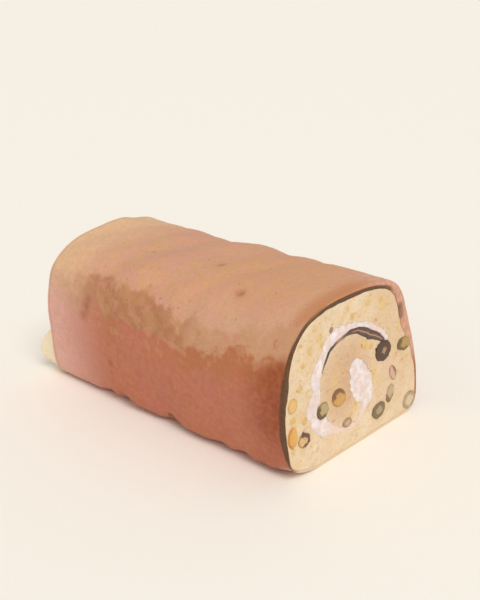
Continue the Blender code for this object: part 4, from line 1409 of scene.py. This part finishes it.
def dark_material():
    """Dark, slightly sticky layer with a pale line where it is doubled."""
    material, tree, shader, position = new_material("dark_filling", 0.5, 0.0, 0.1)
    small = use(tree, MOTTLING, position, Size=2.2, Edge=0.2, Shift=8.0)["Mask"]
    grain = use(tree, GRAIN, position, Size=0.9, Coarse=0.7)
    colour = blend(tree, small, (78, 52, 42), (102, 72, 60))
    colour = blend(tree, attribute(tree, "pale"), colour, (196, 150, 126))
    colour = layers(tree, colour, (attribute(tree, "washed"), 0.75, (196, 152, 138)))
    finish(tree, shader, colour, grain["Height"], 0.5, 0.35)
    return material


def fruit_material(name):
    """Cut dried fruit: dark wrinkled skin round lighter, moist flesh."""
    material, tree, shader, position = new_material(name, 0.5, 0.08, 0.06)
    small = use(tree, MOTTLING, position, Size=1.5, Edge=0.22, Shift=9.0)["Mask"]
    grain = use(tree, GRAIN, position, Size=0.8, Coarse=0.8)
    skin = attribute(tree, "skin", "Color")
    flesh = layers(tree, attribute(tree, "flesh_colour", "Color"), (small, 0.3, skin))
    colour = blend(tree, attribute(tree, "flesh"), skin, flesh)
    finish(tree, shader, colour, grain["Height"], 0.5, 0.4)
    return material


def bits_material(name, first, second):
    """Small bits of dried fruit in the crumb, in two tones."""
    material, tree, shader, position = new_material(name, 0.5, 0.15)
    patches = use(tree, MOTTLING, position, Size=6.0, Edge=0.15, Shift=10.0)["Mask"]
    grain = use(tree, GRAIN, position, Size=0.8, Coarse=0.6)
    finish(tree, shader, blend(tree, patches, first, second), grain["Height"], 0.4, 0.3)
    return material


def dress(made, material, slot, *nodes):
    """Give a piece its finish and its body, and hide the imported parts of the nodes it stands for;
    slot is not used.
    """
    made.data.materials.append(material)
    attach(made, "root")
    if nodes:
        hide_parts(*nodes)
    return made


def make_cake():
    """All the pieces of the cake."""
    dress(make_crust(), crust_material(), "sponge", "sponge")
    dress(make_crumb(), crumb_material(), "sponge", "sponge")
    dress(make_cream(), cream_material(), "cream", "cream")
    dress(make_dark_layer(), dark_material(), "dark_layer", "dark_layer")
    materials = {kind: fruit_material("cut_" + kind) for kind in ("raisin", "sultana")}
    for seed, (name, fruit) in enumerate({**CUT_FRUIT, **FAR_FRUIT}.items()):
        kind = name.split("_")[0]
        dress(make_fruit(name, fruit, 1.7 * seed), materials[kind], kind, name)
    yellow = bits_material("yellow_bits", (232, 200, 140), (222, 182, 116))
    dress(make_bits("fruit_bits_cut", CUT_BITS, True, 3), yellow, "sultana")
    dress(make_bits("fruit_bits_far", FAR_BITS, False, 4), yellow, "sultana")
    mauve = bits_material("raisin_bits", (190, 150, 130), (168, 126, 110))
    dress(make_bits("raisin_bits_cut", RAISIN_BITS, True, 7), mauve, "raisin")


FLOOR_REACH = 6.0


def make_floor():
    """Plain pale floor."""
    shape = bmesh.new()
    bmesh.ops.create_grid(shape, x_segments=8, y_segments=8, size=FLOOR_REACH)
    mesh = bpy.data.meshes.new("floor")
    shape.to_mesh(mesh)
    shape.free()
    floor = bpy.data.objects.new("floor", mesh)
    bpy.context.scene.collection.objects.link(floor)
    material, tree, shader, position = new_material("pale_floor", 0.9)
    grain = use(tree, GRAIN, position, Size=1.6, Coarse=0.3)
    colour = layers(tree, (252, 249, 243), (grain["Speckle"], 0.25, (248, 244, 237)))
    finish(tree, shader, colour)
    mesh.materials.append(material)


SURROUND_STRENGTH = 0.62
KEY_STRENGTH = 1.5
KEY_BREADTH = 28.0
KEY_COLOUR = (1.0, 0.98, 0.94)
KEY_FROM = (0.55, -0.3, 0.8)


def make_light():
    """Soft studio light: a bright pale surrounding and a broad key light on the cut face and top."""
    world = bpy.data.worlds.new("studio")
    world.use_nodes = True
    surrounding = world.node_tree.nodes["Background"].inputs
    surrounding["Color"].default_value = srgb(250, 245, 238)
    surrounding["Strength"].default_value = SURROUND_STRENGTH
    bpy.context.scene.world = world
    data = bpy.data.lights.new("key", "SUN")
    data.energy = KEY_STRENGTH
    data.angle = math.radians(KEY_BREADTH)
    data.color = KEY_COLOUR
    key = bpy.data.objects.new("key", data)
    key.rotation_mode = "QUATERNION"
    key.rotation_quaternion = Vector(KEY_FROM).to_track_quat("Z", "Y")
    bpy.context.scene.collection.objects.link(key)


CAMERA_PLACE = (293.41, -306.89, 217.64)
CAMERA_AZIMUTH = 42.398
CAMERA_ELEVATION = 22.039
FOCAL_PIXELS = 999.0
PICTURE_HEIGHT = 600.0
SENSOR = 36.0


def make_camera():
    """Camera at the photograph's viewing angle."""
    azimuth, elevation = math.radians(CAMERA_AZIMUTH), math.radians(CAMERA_ELEVATION)
    back = Vector((math.sin(azimuth) * math.cos(elevation),
                   -math.cos(azimuth) * math.cos(elevation), math.sin(elevation)))
    right = Vector((math.cos(azimuth), math.sin(azimuth), 0.0))
    data = bpy.data.cameras.new("view")
    data.sensor_width = SENSOR
    data.lens = SENSOR * FOCAL_PIXELS / PICTURE_HEIGHT
    data.clip_start = 0.01
    data.clip_end = 50.0
    camera = bpy.data.objects.new("view", data)
    turn = Matrix((right, back.cross(right), back)).transposed().to_4x4()
    camera.matrix_world = Matrix.Translation(Vector(CAMERA_PLACE) * MM) @ turn
    bpy.context.scene.collection.objects.link(camera)
    bpy.context.scene.camera = camera


bpy.context.scene.view_settings.view_transform = "Standard"
make_cake()
make_floor()
make_light()
make_camera()

bpy.context.view_layer.update()
